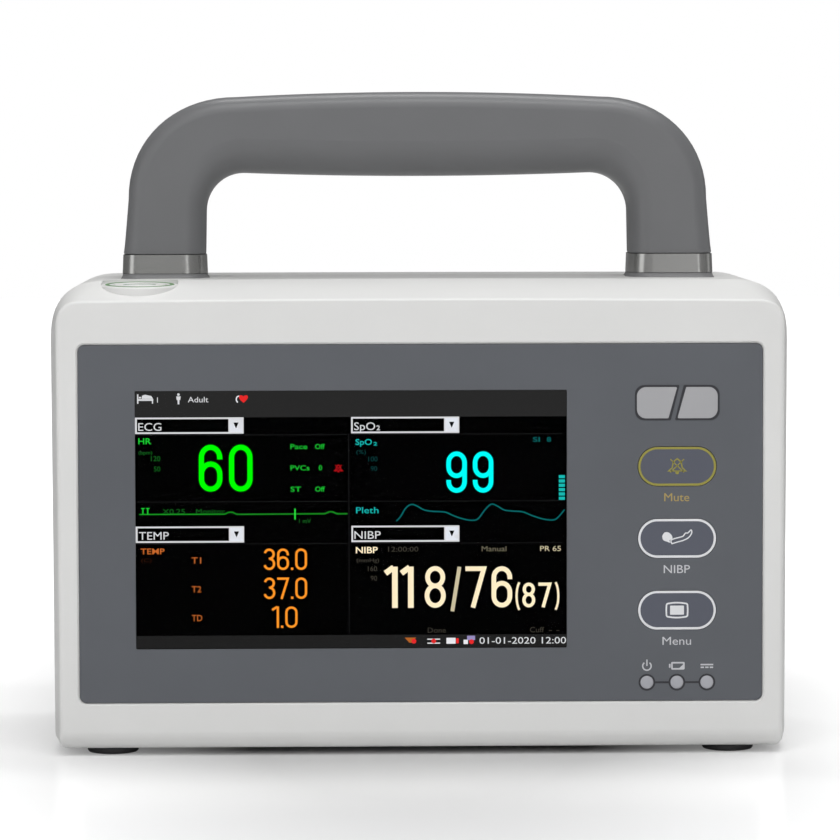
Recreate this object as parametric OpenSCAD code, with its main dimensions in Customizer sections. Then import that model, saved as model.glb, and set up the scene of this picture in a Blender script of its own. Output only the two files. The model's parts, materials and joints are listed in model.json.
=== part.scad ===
// Portable patient monitor with a fixed carrying handle, in millimetres.
// +Z is up, the display faces -Y, and the origin is on the table under the middle of the housing.

/* [Housing] */
// Width of the housing at its widest
body_w = 187; // [187:0.5:190]
// Depth of the housing, from the front face to the rear face
body_d = 88; // [88:0.5:92]
// Height of the housing without its feet, at the middle of the crowned top
body_h = 118; // [117:0.2:119]
// How much narrower each side of the front face is than the widest part
front_draft = 2.3; // [1.5:0.1:3]
// How much each side leans in towards the bottom
side_taper = 0.4; // [0.3:0.1:0.8]
// How much lower the top is at its corners than in the middle
crown = 0.5; // [0.3:0.1:1]
// Length of the sloping shoulder above the front face
shoulder_run = 16; // [14:0.5:16]
// Height of the sloping shoulder above the front face
shoulder_drop = 4.8; // [4:0.2:5]
// Distance behind the middle at which the front and rear shells meet
seam_y = 18; // [18:0.5:19]
// Wall thickness of both shells
wall = 2.5; // [2.3:0.1:2.5]

/* [Front panel] */
// Width of the dark front panel
panel_w = 171.5; // [171:0.5:173]
// Height of the dark front panel
panel_h = 90; // [89:0.5:91]
// Height of the panel's lower edge above the table
panel_z = 13.5; // [13:0.5:14]
// Thickness of the front panel
panel_t = 1.2; // [1:0.1:1.4]
// Visible width of the 5 inch display
screen_w = 108; // [106:0.5:108]
// Visible height of the 5 inch display
screen_h = 64.8; // [64:0.2:65]
// Sideways place of the display's middle
screen_x = -17.5; // [-18:0.5:-17]
// Height of the display's middle
screen_z = 59.5; // [59:0.5:60]

/* [Keys and lamps] */
// Width of a key
key_w = 19.6; // [18:0.2:20]
// Height of a key
key_h = 9.8; // [9:0.2:10]
// Sideways place of the key column
key_x = 64.2; // [64:0.2:65]
// Height of the middle of the lowest key
key_low_z = 36.4; // [36:0.2:37]
// Distance from one key to the next
key_pitch = 18.1; // [17.5:0.1:18.2]
// How far a key travels when it is pressed
key_travel = 0.8; // [0.5:0.1:0.8]
// Width of the alarm lamp pair
lamp_w = 21.1; // [20:0.1:21.5]
// Height of the alarm lamps
lamp_h = 8.7; // [8:0.1:9]
// Radius of the pad that the power button sits in
pad_r = 10; // [9.5:0.1:10]
// How far the power button travels
power_travel = 1.2; // [0.8:0.1:1.2]

/* [Handle] */
// Half of the handle's outer width, at its feet
handle_half = 75.8; // [75:0.2:76]
// Half of the clear width inside the handle
handle_gap_half = 54.1; // [53.5:0.1:54.5]
// Height of the grip's underside
grip_low_z = 145.7; // [144:0.5:147]
// Height of the grip's top, at the middle
grip_top_z = 167.6; // [166.6:0.2:169]
// Depth of the handle, front to back
handle_d = 30; // [28:0.5:30]

/* [Battery and ports] */
// Battery pack, sideways
pack_w = 70; // [66:1:70]
// Battery pack, front to back
pack_d = 20; // [18:0.5:20]
// Battery pack, upwards
pack_h = 75; // [70:1:75]
// Spacing of the four threaded holes in the rear plate
vesa = 75; // [75]
// Radius of the threaded holes in the rear plate, before the M4 thread
vesa_hole_r = 1.65; // [1.6:0.05:1.7]

/* [Hidden] */

$fn = 48;
corner_steps = 6;

// Levels of the housing
foot_h = 1.7;
base_z = foot_h;
top_z = base_z + body_h;
front_y = -body_d / 2;
rear_y = body_d / 2;
half_w = body_w / 2;
top_r = 15;
bottom_r = 3;
front_low_r = 5;
flare_run = 15;
rear_run = 8;
rear_drop = 4;
rear_draft = 3.5;
front_wall = 3.7;
inside_y = front_y + front_wall;
big = 400;

// Front panel
panel_recess = 0.2;
panel_y = front_y + panel_recess;
panel_back_y = panel_y + panel_t;
panel_r = 1.8;
panel_mid_z = panel_z + panel_h / 2;
fit_gap = 0.1;
key_gap = 0.2;
lcd_w = 120.7;
lcd_h = 75.8;
lcd_t = 3.5;
gasket_t = 0.5;
lcd_y = panel_back_y + gasket_t;
lcd_back_y = lcd_y + lcd_t;
frame_t = 1.2;

// Keys, lamps and indicators
key_cap_t = 1.4;
key_stem_w = 14;
key_stem_h = 5;
key_end_y = inside_y + 0.4;
board_t = 1.6;
keypad_y = key_end_y + 1.9;
lamp_x = key_x;
lamp_z = panel_z + 75.1;
lamp_r = 2.3;
lamp_slant = 1.1;
lamp_split = 0.6;
led_r = 1.65;
led_pitch = 7.55;
led_z = panel_z + 4.7;

// Power button
pad_x = -70.7;
pad_y = -30.3;
pad_top_z = top_z - 1.5;
power_r = 6.6;
power_bore_r = 6.9;
power_flange_r = 8.2;
power_boss_r = 11.5;
power_boss_z = 113.5;
power_flange_t = 1.4;
power_flange_z = power_boss_z - 0.1 - power_flange_t;
power_stem_r = 2.5;
switch_plate_z = 105.4;
power_stem_z = switch_plate_z - 0.4 + power_travel;

// Handle
leg_x = (handle_half + handle_gap_half) / 2;
leg_w = handle_half - handle_gap_half;
handle_y = -1;
foot_top_z = top_z + 0.8;
collar_top_z = foot_top_z + 5;
grip_drop = 2.8;
leg_lean = 1.3;
grip_crest_r = 800;
grip_outer_r = 25;
grip_inner_r = 9.5;
core_d = 24;
core_wall = 5.5;
handle_screw_pitch = 14;
handle_screw_r = 2;
screw_boss_z = 113;

// Side features
side_x = 92.5;
socket_y = -6;
connector_w = 40;
connector_h = 88;
connector_z = 60;
connector_t = 2.6;
socket_depth = 10;
socket_back = 14;

// Battery door and its hinge
door_t = 2.2;
door_low_z = 16.5;
door_high_z = 101.5;
door_front_y = -13.5;
hinge_x = 91.3;
hinge_y = 14.5;
hinge_r = 1.3;
hinge_bore_r = 0.75;
hinge_pin_r = 0.7;
door_edge_y = 13;
door_pocket_y = 16.1;
hinge_zs = [22, 72];
hinge_len = 24;
end_knuckle = 5.7;
knuckle_len = 12;
lock_y = -8;
lock_z = 59;
lock_r = 4;
cam_len = 9;
pack_y = 1.8;
pack_z = 59;
pack_x = 15;
bay_t = 1.2;
pack_gap = 0.4;

// Flap over the multi-function port
flap_y = 27.5;
flap_w = 13.4;
flap_low_z = 24;
flap_high_z = 58;
flap_hinge_z = 60;
flap_knuckle = 2.7;
flap_knuckle_ys = [flap_y - 6.5, flap_y + 6.5 - flap_knuckle];

// Rear plate and case screws
plate_w = 95;
plate_t = 2.7;
plate_r = 4;
plate_z = 59.5;
insert_r = 4.5;
insert_y = 34;
case_screw_x = 84;
case_screw_zs = [12.5, 107.5];
case_head_y = 26;

// Rubber feet
foot_x = 78;
foot_y = 33;
foot_r = 6.5;
foot_cup_r = 6.6;
foot_cup_d = 0.8;

// Sockets on the left side: [y, z, bore radius, shell radius, flange radius]
ecg_place = [socket_y, connector_z + 31, 6.5, 8.5, 10];
spo2_place = [socket_y, connector_z + 9, 5.5, 7.3, 8.8];
temp_places = [for (s = [-1, 1]) [socket_y + s * 8, connector_z - 7, 3.2, 4.2, 5.2]];
ibp_places = [for (s = [-1, 1]) [socket_y + s * 9.5, connector_z - 21.5, 4.6, 6, 7.2]];
nibp_place = [socket_y, connector_z - 36, 4.2, 5.4, 6.6];
all_places = concat([ecg_place, spo2_place, nibp_place], temp_places, ibp_places);

// Inside parts
chassis_y = -12.5;
main_board_y = -24;
power_board_y = 21;
parameter_board_x = -75;
pump_x = -30;
pump_y = 6;
pump_r = 12;
speaker_x = 66;
speaker_z = 80;

// Unit vector of v
function unit(v) = v / norm(v);

// Points of the arc of radius r that rounds corner p between its neighbours a and b
function corner_arc(a, p, b, r) =
    let (
        u = unit(a - p),
        v = unit(b - p),
        half = acos(u * v) / 2,
        c = p + unit(u + v) * r / sin(half),
        s = p + u * r / tan(half) - c,
        e = p + v * r / tan(half) - c,
        start = atan2(s.y, s.x),
        turn = atan2(e.y, e.x) - start,
        sweep = turn > 180 ? turn - 360 : turn < -180 ? turn + 360 : turn
    )
    [for (i = [0:corner_steps]) let (t = start + sweep * i / corner_steps) c + r * [cos(t), sin(t)]];

// Outline through pts with the corners rounded by radii, where a radius of 0 leaves a corner sharp
function rounded(pts, radii) =
    [for (i = [0:len(pts) - 1])
        each radii[i] <= 0 ? [pts[i]]
            : corner_arc(pts[(i + len(pts) - 1) % len(pts)], pts[i], pts[(i + 1) % len(pts)], radii[i])];

// Rounded rectangle about c
function round_box(c, w, h, r) =
    rounded([c + [-w, -h] / 2, c + [w, -h] / 2, c + [w, h] / 2, c + [-w, h] / 2], [r, r, r, r]);

// Extrudes an X-Z outline from y0 to y1
module along_y(y0, y1) {
    translate([0, y1, 0]) rotate([90, 0, 0]) linear_extrude(y1 - y0) children();
}

// Extrudes a Y-Z outline from x0 to x1
module along_x(x0, x1) {
    translate([x0, 0, 0]) rotate([90, 0, 90]) linear_extrude(x1 - x0) children();
}

// Extrudes an X-Y outline from z0 to z1
module along_z(z0, z1) {
    translate([0, 0, z0]) linear_extrude(z1 - z0) children();
}

// Cylinder along X through (y, z)
module rod_x(x0, x1, y, z, r) {
    translate([x0, y, z]) rotate([0, 90, 0]) cylinder(h = x1 - x0, r = r);
}

// Cylinder along Y through (x, z)
module rod_y(y0, y1, x, z, r) {
    translate([x, y1, z]) rotate([90, 0, 0]) cylinder(h = y1 - y0, r = r);
}

// Cylinder along Z through (x, y)
module rod_z(z0, z1, x, y, r) {
    translate([x, y, z0]) cylinder(h = z1 - z0, r = r);
}

// Box between two limits on each axis
module block(xs, ys, zs) {
    translate([xs[0], ys[0], zs[0]]) cube([xs[1] - xs[0], ys[1] - ys[0], zs[1] - zs[0]]);
}

// Front view of the housing, drawn in by inset; the top is a shallow parabola
function front_outline(inset) =
    let (
        half = half_w - inset,
        top = top_z - inset,
        low = base_z + inset,
        crest = [for (k = [0.75:-0.25:-0.75]) [half * k, top - crown * k * k]]
    )
    rounded(
        concat([[-half + side_taper, low], [half - side_taper, low], [half, top - crown]],
            crest, [[-half, top - crown]]),
        concat([bottom_r, bottom_r, top_r - inset], [for (p = crest) 0], [top_r - inset])
    );

// Side view of the housing, drawn in by inset
function side_outline(inset) =
    let (front = front_y + inset, rear = rear_y - inset, top = top_z - inset, low = base_z + inset)
    rounded(
        [
            [front, low], [rear, low], [rear, top - rear_drop],
            [rear_y - rear_run, top], [front_y + shoulder_run, top], [front, top - shoulder_drop]
        ],
        [front_low_r, 2, 3, 6, 6, 0.6]
    );

// Top view of the housing, drawn in by inset
function plan_outline(inset) =
    let (half = half_w - inset, front = front_y + inset, rear = rear_y - inset)
    rounded(
        [
            [-half + front_draft, front], [half - front_draft, front], [half, front_y + flare_run],
            [half, rear_y - rear_run], [half - rear_draft, rear],
            [-half + rear_draft, rear], [-half, rear_y - rear_run], [-half, front_y + flare_run]
        ],
        [1.2, 1.2, 10, 6, 3, 3, 6, 10]
    );

// Solid form of the whole housing, drawn in by inset
module body_form(inset) {
    intersection() {
        along_y(front_y - 1, rear_y + 1) polygon(front_outline(inset));
        along_x(-half_w - 1, half_w + 1) polygon(side_outline(inset));
        along_z(base_z - 1, top_z + 1) polygon(plan_outline(inset));
    }
}

// Everything between y0 and y1
module slab(y0, y1) {
    block([-big, big], [y0, y1], [-big, big]);
}

// Places children at each case screw
module at_case_screws() {
    for (x = [-case_screw_x, case_screw_x], z = case_screw_zs) {
        translate([x, 0, z]) children();
    }
}

// Places children at the handle screws of both legs
module at_handle_screws() {
    for (x = [-leg_x, leg_x], side = [-1, 1]) {
        translate([x, handle_y + side * handle_screw_pitch / 2, 0]) children();
    }
}

// Outline of one key, grown by gap
module key_outline(z, gap) {
    polygon(round_box([key_x, z], key_w + 2 * gap, key_h + 2 * gap, key_h / 2 + gap - 0.05));
}

// Outline of a key's stem, grown by gap
module stem_outline(z, gap) {
    polygon(round_box([key_x, z], key_stem_w + 2 * gap, key_stem_h + 2 * gap, 1));
}

function key_z(i) = key_low_z + i * key_pitch;

// Outline of one alarm lamp, on side -1 or 1, grown by gap
module lamp_outline(side, gap) {
    half = lamp_w / 2 + gap;
    high = lamp_h / 2 + gap;
    cut = lamp_split - gap;
    translate([lamp_x, lamp_z]) polygon(
        side < 0
            ? rounded([[-half, -high], [-cut - lamp_slant, -high], [-cut + lamp_slant, high], [-half, high]],
                [lamp_r, 0, 0, lamp_r])
            : rounded([[cut - lamp_slant, -high], [half, -high], [half, high], [cut + lamp_slant, high]],
                [0, lamp_r, lamp_r, 0])
    );
}

module front_housing() {
    color("gainsboro") difference() {
        union() {
            front_shell();
            for (z = hinge_zs, end = [0, 1]) {
                translate([0, 0, z + end * (hinge_len - end_knuckle)]) union() {
                    rod_z(0, end_knuckle, hinge_x, hinge_y, hinge_r);
                    block([hinge_x - 1.1, hinge_x + 1.1], [hinge_y, door_pocket_y + 0.6], [0, end_knuckle]);
                }
            }
        }
        for (z = hinge_zs) {
            rod_z(z, z + hinge_len, hinge_x, hinge_y, hinge_pin_r);
        }
    }
}

// Front shell without its hinge knuckles
module front_shell() {
    difference() {
        union() {
            difference() {
                union() {
                    intersection() {
                        body_form(0);
                        slab(front_y - 1, seam_y);
                    }
                    rod_z(power_boss_z, pad_top_z, pad_x, pad_y, pad_r);
                }
                intersection() {
                    body_form(wall);
                    slab(inside_y, rear_y);
                }
            }
            intersection() {
                body_form(0);
                union() {
                    rod_z(power_boss_z, top_z, pad_x, pad_y, power_boss_r);
                    at_handle_screws() rod_z(screw_boss_z, top_z - wall / 2, 0, 0, 5);
                    at_case_screws() rod_y(inside_y - 1, seam_y, 0, 0, 4.5);
                }
            }
        }
        along_y(front_y - 1, panel_back_y) polygon(round_box([0, panel_mid_z], panel_w, panel_h, panel_r));
        along_y(front_y, inside_y + 1) polygon(round_box([screen_x, screen_z], lcd_w + 0.8, lcd_h + 0.8, 1));
        for (i = [0:2]) {
            along_y(front_y, panel_back_y + key_cap_t + key_travel) key_outline(key_z(i), key_gap);
            along_y(front_y, inside_y + 1) stem_outline(key_z(i), key_gap);
        }
        block([lamp_x - lamp_w / 2 - 1, lamp_x + lamp_w / 2 + 1], [front_y, inside_y + 1],
            [lamp_z - lamp_h / 2 - 1, lamp_z + lamp_h / 2 + 1]);
        block([key_x - led_pitch - 3, key_x + led_pitch + 3], [front_y, inside_y + 1],
            [led_z - 3, led_z + 3]);
        rod_z(power_boss_z - 1, top_z + 1, pad_x, pad_y, power_bore_r);
        power_ring_groove();
        at_handle_screws() rod_z(screw_boss_z - 1, top_z + 1, 0, 0, handle_screw_r + 0.15);
        at_case_screws() rod_y(case_head_y - 20, seam_y + 1, 0, 0, 1.55);
        gasket_ring();
        along_x(-half_w - 1, -half_w + 4) polygon(
            round_box([socket_y, connector_z], connector_w + 2 * fit_gap, connector_h + 2 * fit_gap, 4));
        block([side_x - door_t - 0.2, half_w + 1], [door_front_y - 0.3, door_pocket_y],
            [door_low_z - 0.3, door_high_z + 0.3]);
        rubber_foot_cups();
    }
}

module gasket_ring() {
    along_y(seam_y - 1, seam_y) difference() {
        polygon(front_outline(0.9));
        polygon(front_outline(1.7));
    }
}

module housing_gasket() {
    color("dimgray") gasket_ring();
}

module rear_cover() {
    color("gainsboro") difference() {
        union() {
            rear_shell();
            for (y = flap_knuckle_ys) {
                rod_y(y, y + flap_knuckle, hinge_x, flap_hinge_z, hinge_r);
                block([hinge_x - 1.1, hinge_x + 1.1], [y, y + flap_knuckle],
                    [flap_hinge_z, flap_hinge_z + 2.2]);
            }
        }
        rod_y(flap_y - 6.5, flap_y + 6.5, hinge_x, flap_hinge_z, hinge_pin_r);
    }
}

// Rear shell without its hinge knuckles
module rear_shell() {
    difference() {
        union() {
            difference() {
                intersection() {
                    body_form(0);
                    slab(seam_y, rear_y + 1);
                }
                body_form(wall);
            }
            intersection() {
                body_form(0);
                slab(rear_y - plate_t - 2.4, rear_y + 1);
                along_y(0, rear_y) polygon(round_box([0, plate_z], plate_w + 6, plate_w + 6, plate_r));
            }
            intersection() {
                body_form(0);
                union() {
                    at_case_screws() rod_y(seam_y, rear_y, 0, 0, 5.5);
                    at_plate_screws() rod_y(rear_y - plate_t - 8, rear_y - plate_t, 0, 0, 3.5);
                }
            }
        }
        along_y(rear_y - plate_t, rear_y + 1)
            polygon(round_box([0, plate_z], plate_w + 2 * fit_gap, plate_w + 2 * fit_gap, plate_r));
        at_vesa() rod_y(insert_y - 1, rear_y, 0, 0, insert_r + 0.2);
        at_plate_screws() rod_y(rear_y - plate_t - 7, rear_y, 0, 0, 1.3);
        at_case_screws() rod_y(case_head_y, rear_y + 1, 0, 0, 3.3);
        at_case_screws() rod_y(seam_y - 1, case_head_y + 1, 0, 0, 1.7);
        for (i = [-2:2]) {
            along_y(rear_y - wall - 1, rear_y + 1)
                polygon(round_box([speaker_x, speaker_z + i * 4], 22 - 2 * abs(i), 1.8, 0.8));
        }
        block([side_x - 2.4, half_w + 1], [flap_y - flap_w / 2 - 0.3, flap_y + flap_w / 2 + 0.3],
            [flap_low_z - 0.3, flap_hinge_z + 1.6]);
        rubber_foot_cups();
    }
}

module front_panel() {
    color("dimgray") along_y(panel_y, panel_back_y) difference() {
        polygon(round_box([0, panel_mid_z], panel_w - 2 * fit_gap, panel_h - 2 * fit_gap, panel_r));
        polygon(round_box([screen_x, screen_z], screen_w, screen_h, 0.3));
        for (i = [0:2]) {
            key_outline(key_z(i), key_gap);
        }
        for (side = [-1, 1]) {
            lamp_outline(side, 0);
        }
        for (i = [-1:1]) {
            translate([key_x + i * led_pitch, led_z]) circle(r = led_r);
        }
    }
}

module touch_glass() {
    color("black") along_y(panel_y, panel_back_y)
        polygon(round_box([screen_x, screen_z], screen_w, screen_h, 0.3));
}

module display_gasket() {
    color("black") along_y(panel_back_y, lcd_y) difference() {
        polygon(round_box([screen_x, screen_z], lcd_w, lcd_h, 1));
        polygon(round_box([screen_x, screen_z], screen_w + 1.5, screen_h + 1.5, 0.5));
    }
}

module lcd_panel() {
    color("darkslategray") union() {
        along_y(lcd_y, lcd_back_y) polygon(round_box([screen_x, screen_z], lcd_w, lcd_h, 1));
        block([screen_x - 20, screen_x + 20], [lcd_back_y, lcd_back_y + 0.6], [screen_z + 18, screen_z + 32]);
    }
}

module lcd_frame() {
    color("silver") difference() {
        union() {
            along_y(lcd_back_y, lcd_back_y + frame_t)
                polygon(round_box([screen_x, screen_z], lcd_w + 8, lcd_h + 8, 2));
            for (x = [-1, 1]) {
                translate([screen_x + x * (lcd_w / 2 + 2.4), 0, 0])
                    block([-1.2, 1.2], [inside_y, lcd_back_y], [screen_z - 20, screen_z + 20]);
            }
        }
        along_y(lcd_back_y - 1, lcd_back_y + frame_t + 1)
            polygon(round_box([screen_x, screen_z], lcd_w - 16, lcd_h - 8, 2));
    }
}

// One key: its cap in the panel and the stem that reaches through the front wall
module key(z) {
    union() {
        along_y(panel_y, panel_back_y + key_cap_t) key_outline(z, 0);
        along_y(panel_back_y + key_cap_t - 0.1, key_end_y) stem_outline(z, 0);
    }
}

module mute_key() {
    color("dimgray") key(key_z(2));
}

module nibp_key() {
    color("dimgray") key(key_z(1));
}

module menu_key() {
    color("dimgray") key(key_z(0));
}

module keypad_mat() {
    color("slategray") along_y(inside_y, inside_y + 0.9) difference() {
        polygon(round_box([key_x, key_z(1)], key_w + 6, 2 * key_pitch + 14, 2));
        for (i = [0:2]) {
            stem_outline(key_z(i), 0.4);
        }
        for (side = [-1, 1], i = [-1, 1]) {
            translate([key_x + side * 10.5, key_z(1) + i * 22]) circle(r = 1.7);
        }
    }
}

module keypad_board() {
    color("darkgreen") union() {
        along_y(keypad_y, keypad_y + board_t)
            polygon(round_box([key_x, key_z(1)], key_w + 6, 2 * key_pitch + 14, 1));
        for (i = [0:2]) {
            rod_y(keypad_y - 0.9, keypad_y, key_x, key_z(i), 3.5);
        }
        for (side = [-1, 1], i = [-1, 1]) {
            rod_y(inside_y, keypad_y, key_x + side * 10.5, key_z(1) + i * 22, 1.5);
        }
    }
}

module alarm_lens(side) {
    along_y(panel_y, inside_y + 0.3) lamp_outline(side, 0);
}

module alarm_lens_left() {
    color("lightgray") alarm_lens(-1);
}

module alarm_lens_right() {
    color("lightgray") alarm_lens(1);
}

module alarm_board() {
    color("darkgreen") union() {
        block([lamp_x - 12.5, lamp_x + 12.5], [keypad_y, keypad_y + board_t], [lamp_z - 7, lamp_z + 7]);
        for (x = [-5.5, 5.5]) {
            block([lamp_x + x - 2.5, lamp_x + x + 2.5], [keypad_y - 1.2, keypad_y],
                [lamp_z - 2, lamp_z + 2]);
        }
    }
}

module indicator_lenses() {
    color("lightgray") for (i = [-1:1]) {
        rod_y(panel_y, inside_y + 0.3, key_x + i * led_pitch, led_z, led_r);
    }
}

module power_button() {
    color("white") translate([pad_x, pad_y, 0]) union() {
        rod_z(power_flange_z, pad_top_z - 0.1, 0, 0, power_r);
        rod_z(power_flange_z, power_flange_z + power_flange_t, 0, 0, power_flange_r);
        rod_z(power_stem_z, power_flange_z + 0.1, 0, 0, power_stem_r);
    }
}

module power_ring_groove() {
    difference() {
        rod_z(pad_top_z - 1, pad_top_z + 2, pad_x, pad_y, 8.8);
        rod_z(pad_top_z - 2, pad_top_z + 3, pad_x, pad_y, 7.7);
    }
}

module power_light_ring() {
    color("gray") difference() {
        rod_z(pad_top_z - 1, pad_top_z - 0.15, pad_x, pad_y, 8.8);
        rod_z(pad_top_z - 2, pad_top_z + 1, pad_x, pad_y, 7.7);
    }
}

module power_spring() {
    color("silver") difference() {
        rod_z(switch_plate_z + board_t, power_flange_z, pad_x, pad_y, 3.6);
        rod_z(switch_plate_z, power_flange_z + 1, pad_x, pad_y, 3);
    }
}

module power_switch() {
    plate_top = switch_plate_z + board_t;
    color("darkgreen") translate([pad_x, pad_y, 0]) difference() {
        union() {
            block([-7.4, 7.4], [-7, 7], [switch_plate_z, plate_top]);
            block([-6, 6], [inside_y - pad_y, -6], [switch_plate_z, plate_top]);
            block([-7.4, 7.4], [-6, 6], [switch_plate_z - 6.1, switch_plate_z - 4.5]);
            block([-4, 4], [-4, 4], [switch_plate_z - 4.6, switch_plate_z - 0.5]);
            for (side = [-1, 1]) {
                translate([side * 6.6, 0, 0])
                    block([-0.8, 0.8], [-3, 3], [switch_plate_z - 6, plate_top - 0.2]);
            }
        }
        rod_z(switch_plate_z - 0.4, plate_top + 1, 0, 0, power_stem_r + 0.3);
    }
}

// Front view of the arch, drawn in by inset from every side but its feet, which stand at foot_z
function arch(inset, foot_z) =
    let (
        foot_half = handle_half - inset,
        top_half = foot_half - leg_lean,
        gap_half = handle_gap_half + inset,
        under_z = grip_low_z + inset,
        top = grip_top_z - inset
    )
    rounded(
        [
            [-foot_half, foot_z], [-gap_half - 0.2, foot_z], [-gap_half, under_z], [gap_half, under_z],
            [gap_half + 0.2, foot_z], [foot_half, foot_z], [top_half, top - grip_drop], [0, top],
            [-top_half, top - grip_drop]
        ],
        [0, 0, grip_inner_r - inset, grip_inner_r - inset, 0, 0, grip_outer_r - inset, grip_crest_r,
            grip_outer_r - inset]
    );

// Bar inside the handle, from the feet up
module core_form() {
    along_y(handle_y - core_d / 2, handle_y + core_d / 2) polygon(arch(core_wall, foot_top_z));
}

module handle_grip() {
    color("dimgray") difference() {
        along_y(handle_y - handle_d / 2, handle_y + handle_d / 2) polygon(arch(0, collar_top_z));
        core_form();
    }
}

module handle_core() {
    color("silver") difference() {
        core_form();
        at_handle_screws() rod_z(foot_top_z - 1, foot_top_z + 13, 0, 0, handle_screw_r);
    }
}

// Plan of a handle leg at x, grown by gap
function leg_plan(x, gap) = round_box([x, handle_y], leg_w + 2 * gap, handle_d + 2 * gap, 5);

module collar(x) {
    difference() {
        along_z(foot_top_z, collar_top_z) polygon(leg_plan(x, 0.2));
        core_form();
    }
}

module collar_left() {
    color("silver") collar(-leg_x);
}

module collar_right() {
    color("silver") collar(leg_x);
}

module handle_foot(x) {
    difference() {
        along_z(top_z - 4, foot_top_z) polygon(leg_plan(x, 1));
        body_form(0);
        at_handle_screws() rod_z(top_z - 5, foot_top_z + 1, 0, 0, handle_screw_r + 0.15);
    }
}

module handle_foot_left() {
    color("darkslategray") handle_foot(-leg_x);
}

module handle_foot_right() {
    color("darkslategray") handle_foot(leg_x);
}

module handle_screws() {
    color("silver") at_handle_screws() union() {
        rod_z(screw_boss_z - 2.5, screw_boss_z, 0, 0, 3.5);
        rod_z(screw_boss_z - 0.1, foot_top_z + 11, 0, 0, handle_screw_r - 0.02);
    }
}

// A round socket: flange on the panel, shell through it and a floor behind the open bore
module socket(p) {
    difference() {
        union() {
            rod_x(-side_x - 0.6, -side_x, p[0], p[1], p[4]);
            rod_x(-side_x - 0.1, -side_x + socket_back, p[0], p[1], p[3]);
        }
        rod_x(-side_x - 1, -side_x - 0.6 + socket_depth, p[0], p[1], p[2]);
    }
}

module connector_panel() {
    color("dimgray") difference() {
        union() {
            along_x(-side_x, -side_x + connector_t)
                polygon(round_box([socket_y, connector_z], connector_w, connector_h, 4));
            along_x(-side_x + connector_t - 0.1, -side_x + connector_t + 1.2)
                polygon(round_box([socket_y, connector_z], connector_w + 6, connector_h + 5, 5));
        }
        for (p = all_places) {
            rod_x(-side_x - 1, -side_x + connector_t + 2, p[0], p[1], p[3] + 0.05);
        }
    }
}

module ecg_socket() {
    color("seagreen") socket(ecg_place);
}

module spo2_socket() {
    color("royalblue") socket(spo2_place);
}

module temp_sockets() {
    color("sienna") for (p = temp_places) {
        socket(p);
    }
}

module ibp_sockets() {
    color("firebrick") for (p = ibp_places) {
        socket(p);
    }
}

// Air outlet for the cuff hose, with a nozzle behind it for the inner tube
module nibp_port() {
    p = nibp_place;
    color("silver") difference() {
        union() {
            socket(p);
            rod_x(-side_x + socket_back - 0.1, -side_x + socket_back + 4, p[0], p[1], 2.2);
        }
        rod_x(-side_x + 6, -side_x + socket_back + 5, p[0], p[1], 1.2);
    }
}

module battery_door() {
    color("gainsboro") difference() {
        union() {
            along_x(side_x - door_t, side_x) polygon(
                rounded([[door_front_y, door_low_z], [door_edge_y, door_low_z], [door_edge_y, door_high_z],
                    [door_front_y, door_high_z]], [2, 0, 0, 2]));
            for (z = hinge_zs) {
                door_knuckle(z + (hinge_len - knuckle_len) / 2);
            }
        }
        for (z = hinge_zs) {
            rod_z(z, z + hinge_len, hinge_x, hinge_y, hinge_bore_r);
        }
        rod_x(side_x - door_t - 1, side_x + 1, lock_y, lock_z, lock_r + 0.1);
    }
}

// Moving knuckle of the door hinge, from z up
module door_knuckle(z) {
    union() {
        rod_z(z, z + knuckle_len, hinge_x, hinge_y, hinge_r);
        block([hinge_x - 0.9, hinge_x + 1], [door_edge_y - 0.1, hinge_y], [z, z + knuckle_len]);
    }
}

module door_hinge_pins() {
    color("silver") for (z = hinge_zs) {
        rod_z(z + 0.1, z + hinge_len - 0.1, hinge_x, hinge_y, hinge_pin_r);
    }
}

// Quarter-turn lock: head flush in the door, cam behind it
module door_lock() {
    back = side_x - door_t;
    color("dimgray") difference() {
        union() {
            rod_x(back - 0.2, side_x - 0.1, lock_y, lock_z, lock_r);
            block([back - 1.6, back - 0.15], [lock_y - 1.6, lock_y + 1.6], [lock_z - 1.6, lock_z + cam_len]);
        }
        block([side_x - 1.3, side_x + 1], [lock_y - 0.7, lock_y + 0.7], [lock_z - 3, lock_z + 3]);
    }
}

// Liner behind the door that holds the pack, with a flange against the side wall
module battery_bay() {
    back = side_x - door_t - 0.4;
    color("darkgray") difference() {
        union() {
            block([pack_x - bay_t - 3, back - 0.1],
                [for (s = [-1, 1]) pack_y + s * (pack_d / 2 + pack_gap + bay_t)],
                [for (s = [-1, 1]) pack_z + s * (pack_h / 2 + pack_gap + bay_t)]);
            block([back - 2.4, back - 0.1], [door_front_y - 2.5, hinge_y + 2.5],
                [door_low_z + 0.8, door_high_z + 1]);
        }
        block([pack_x - 3, back + 1], [for (s = [-1, 1]) pack_y + s * (pack_d / 2 + pack_gap)],
            [for (s = [-1, 1]) pack_z + s * (pack_h / 2 + pack_gap)]);
        block([back - 1.9, back + 1], [lock_y - cam_len - 2.5, lock_y + 3.5],
            [lock_z - 3.5, lock_z + cam_len + 2.5]);
    }
}

module battery_pack() {
    color("dimgray") along_z(pack_z - pack_h / 2, pack_z + pack_h / 2)
        polygon(round_box([pack_x + pack_w / 2, pack_y], pack_w, pack_d, 3));
}

module battery_contacts() {
    color("gold") for (i = [-1.5:1:1.5]) {
        block([pack_x - 3, pack_x - 0.1], [pack_y - 1.2, pack_y + 1.2],
            [pack_z + i * 8 - 1.5, pack_z + i * 8 + 1.5]);
    }
}

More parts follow.
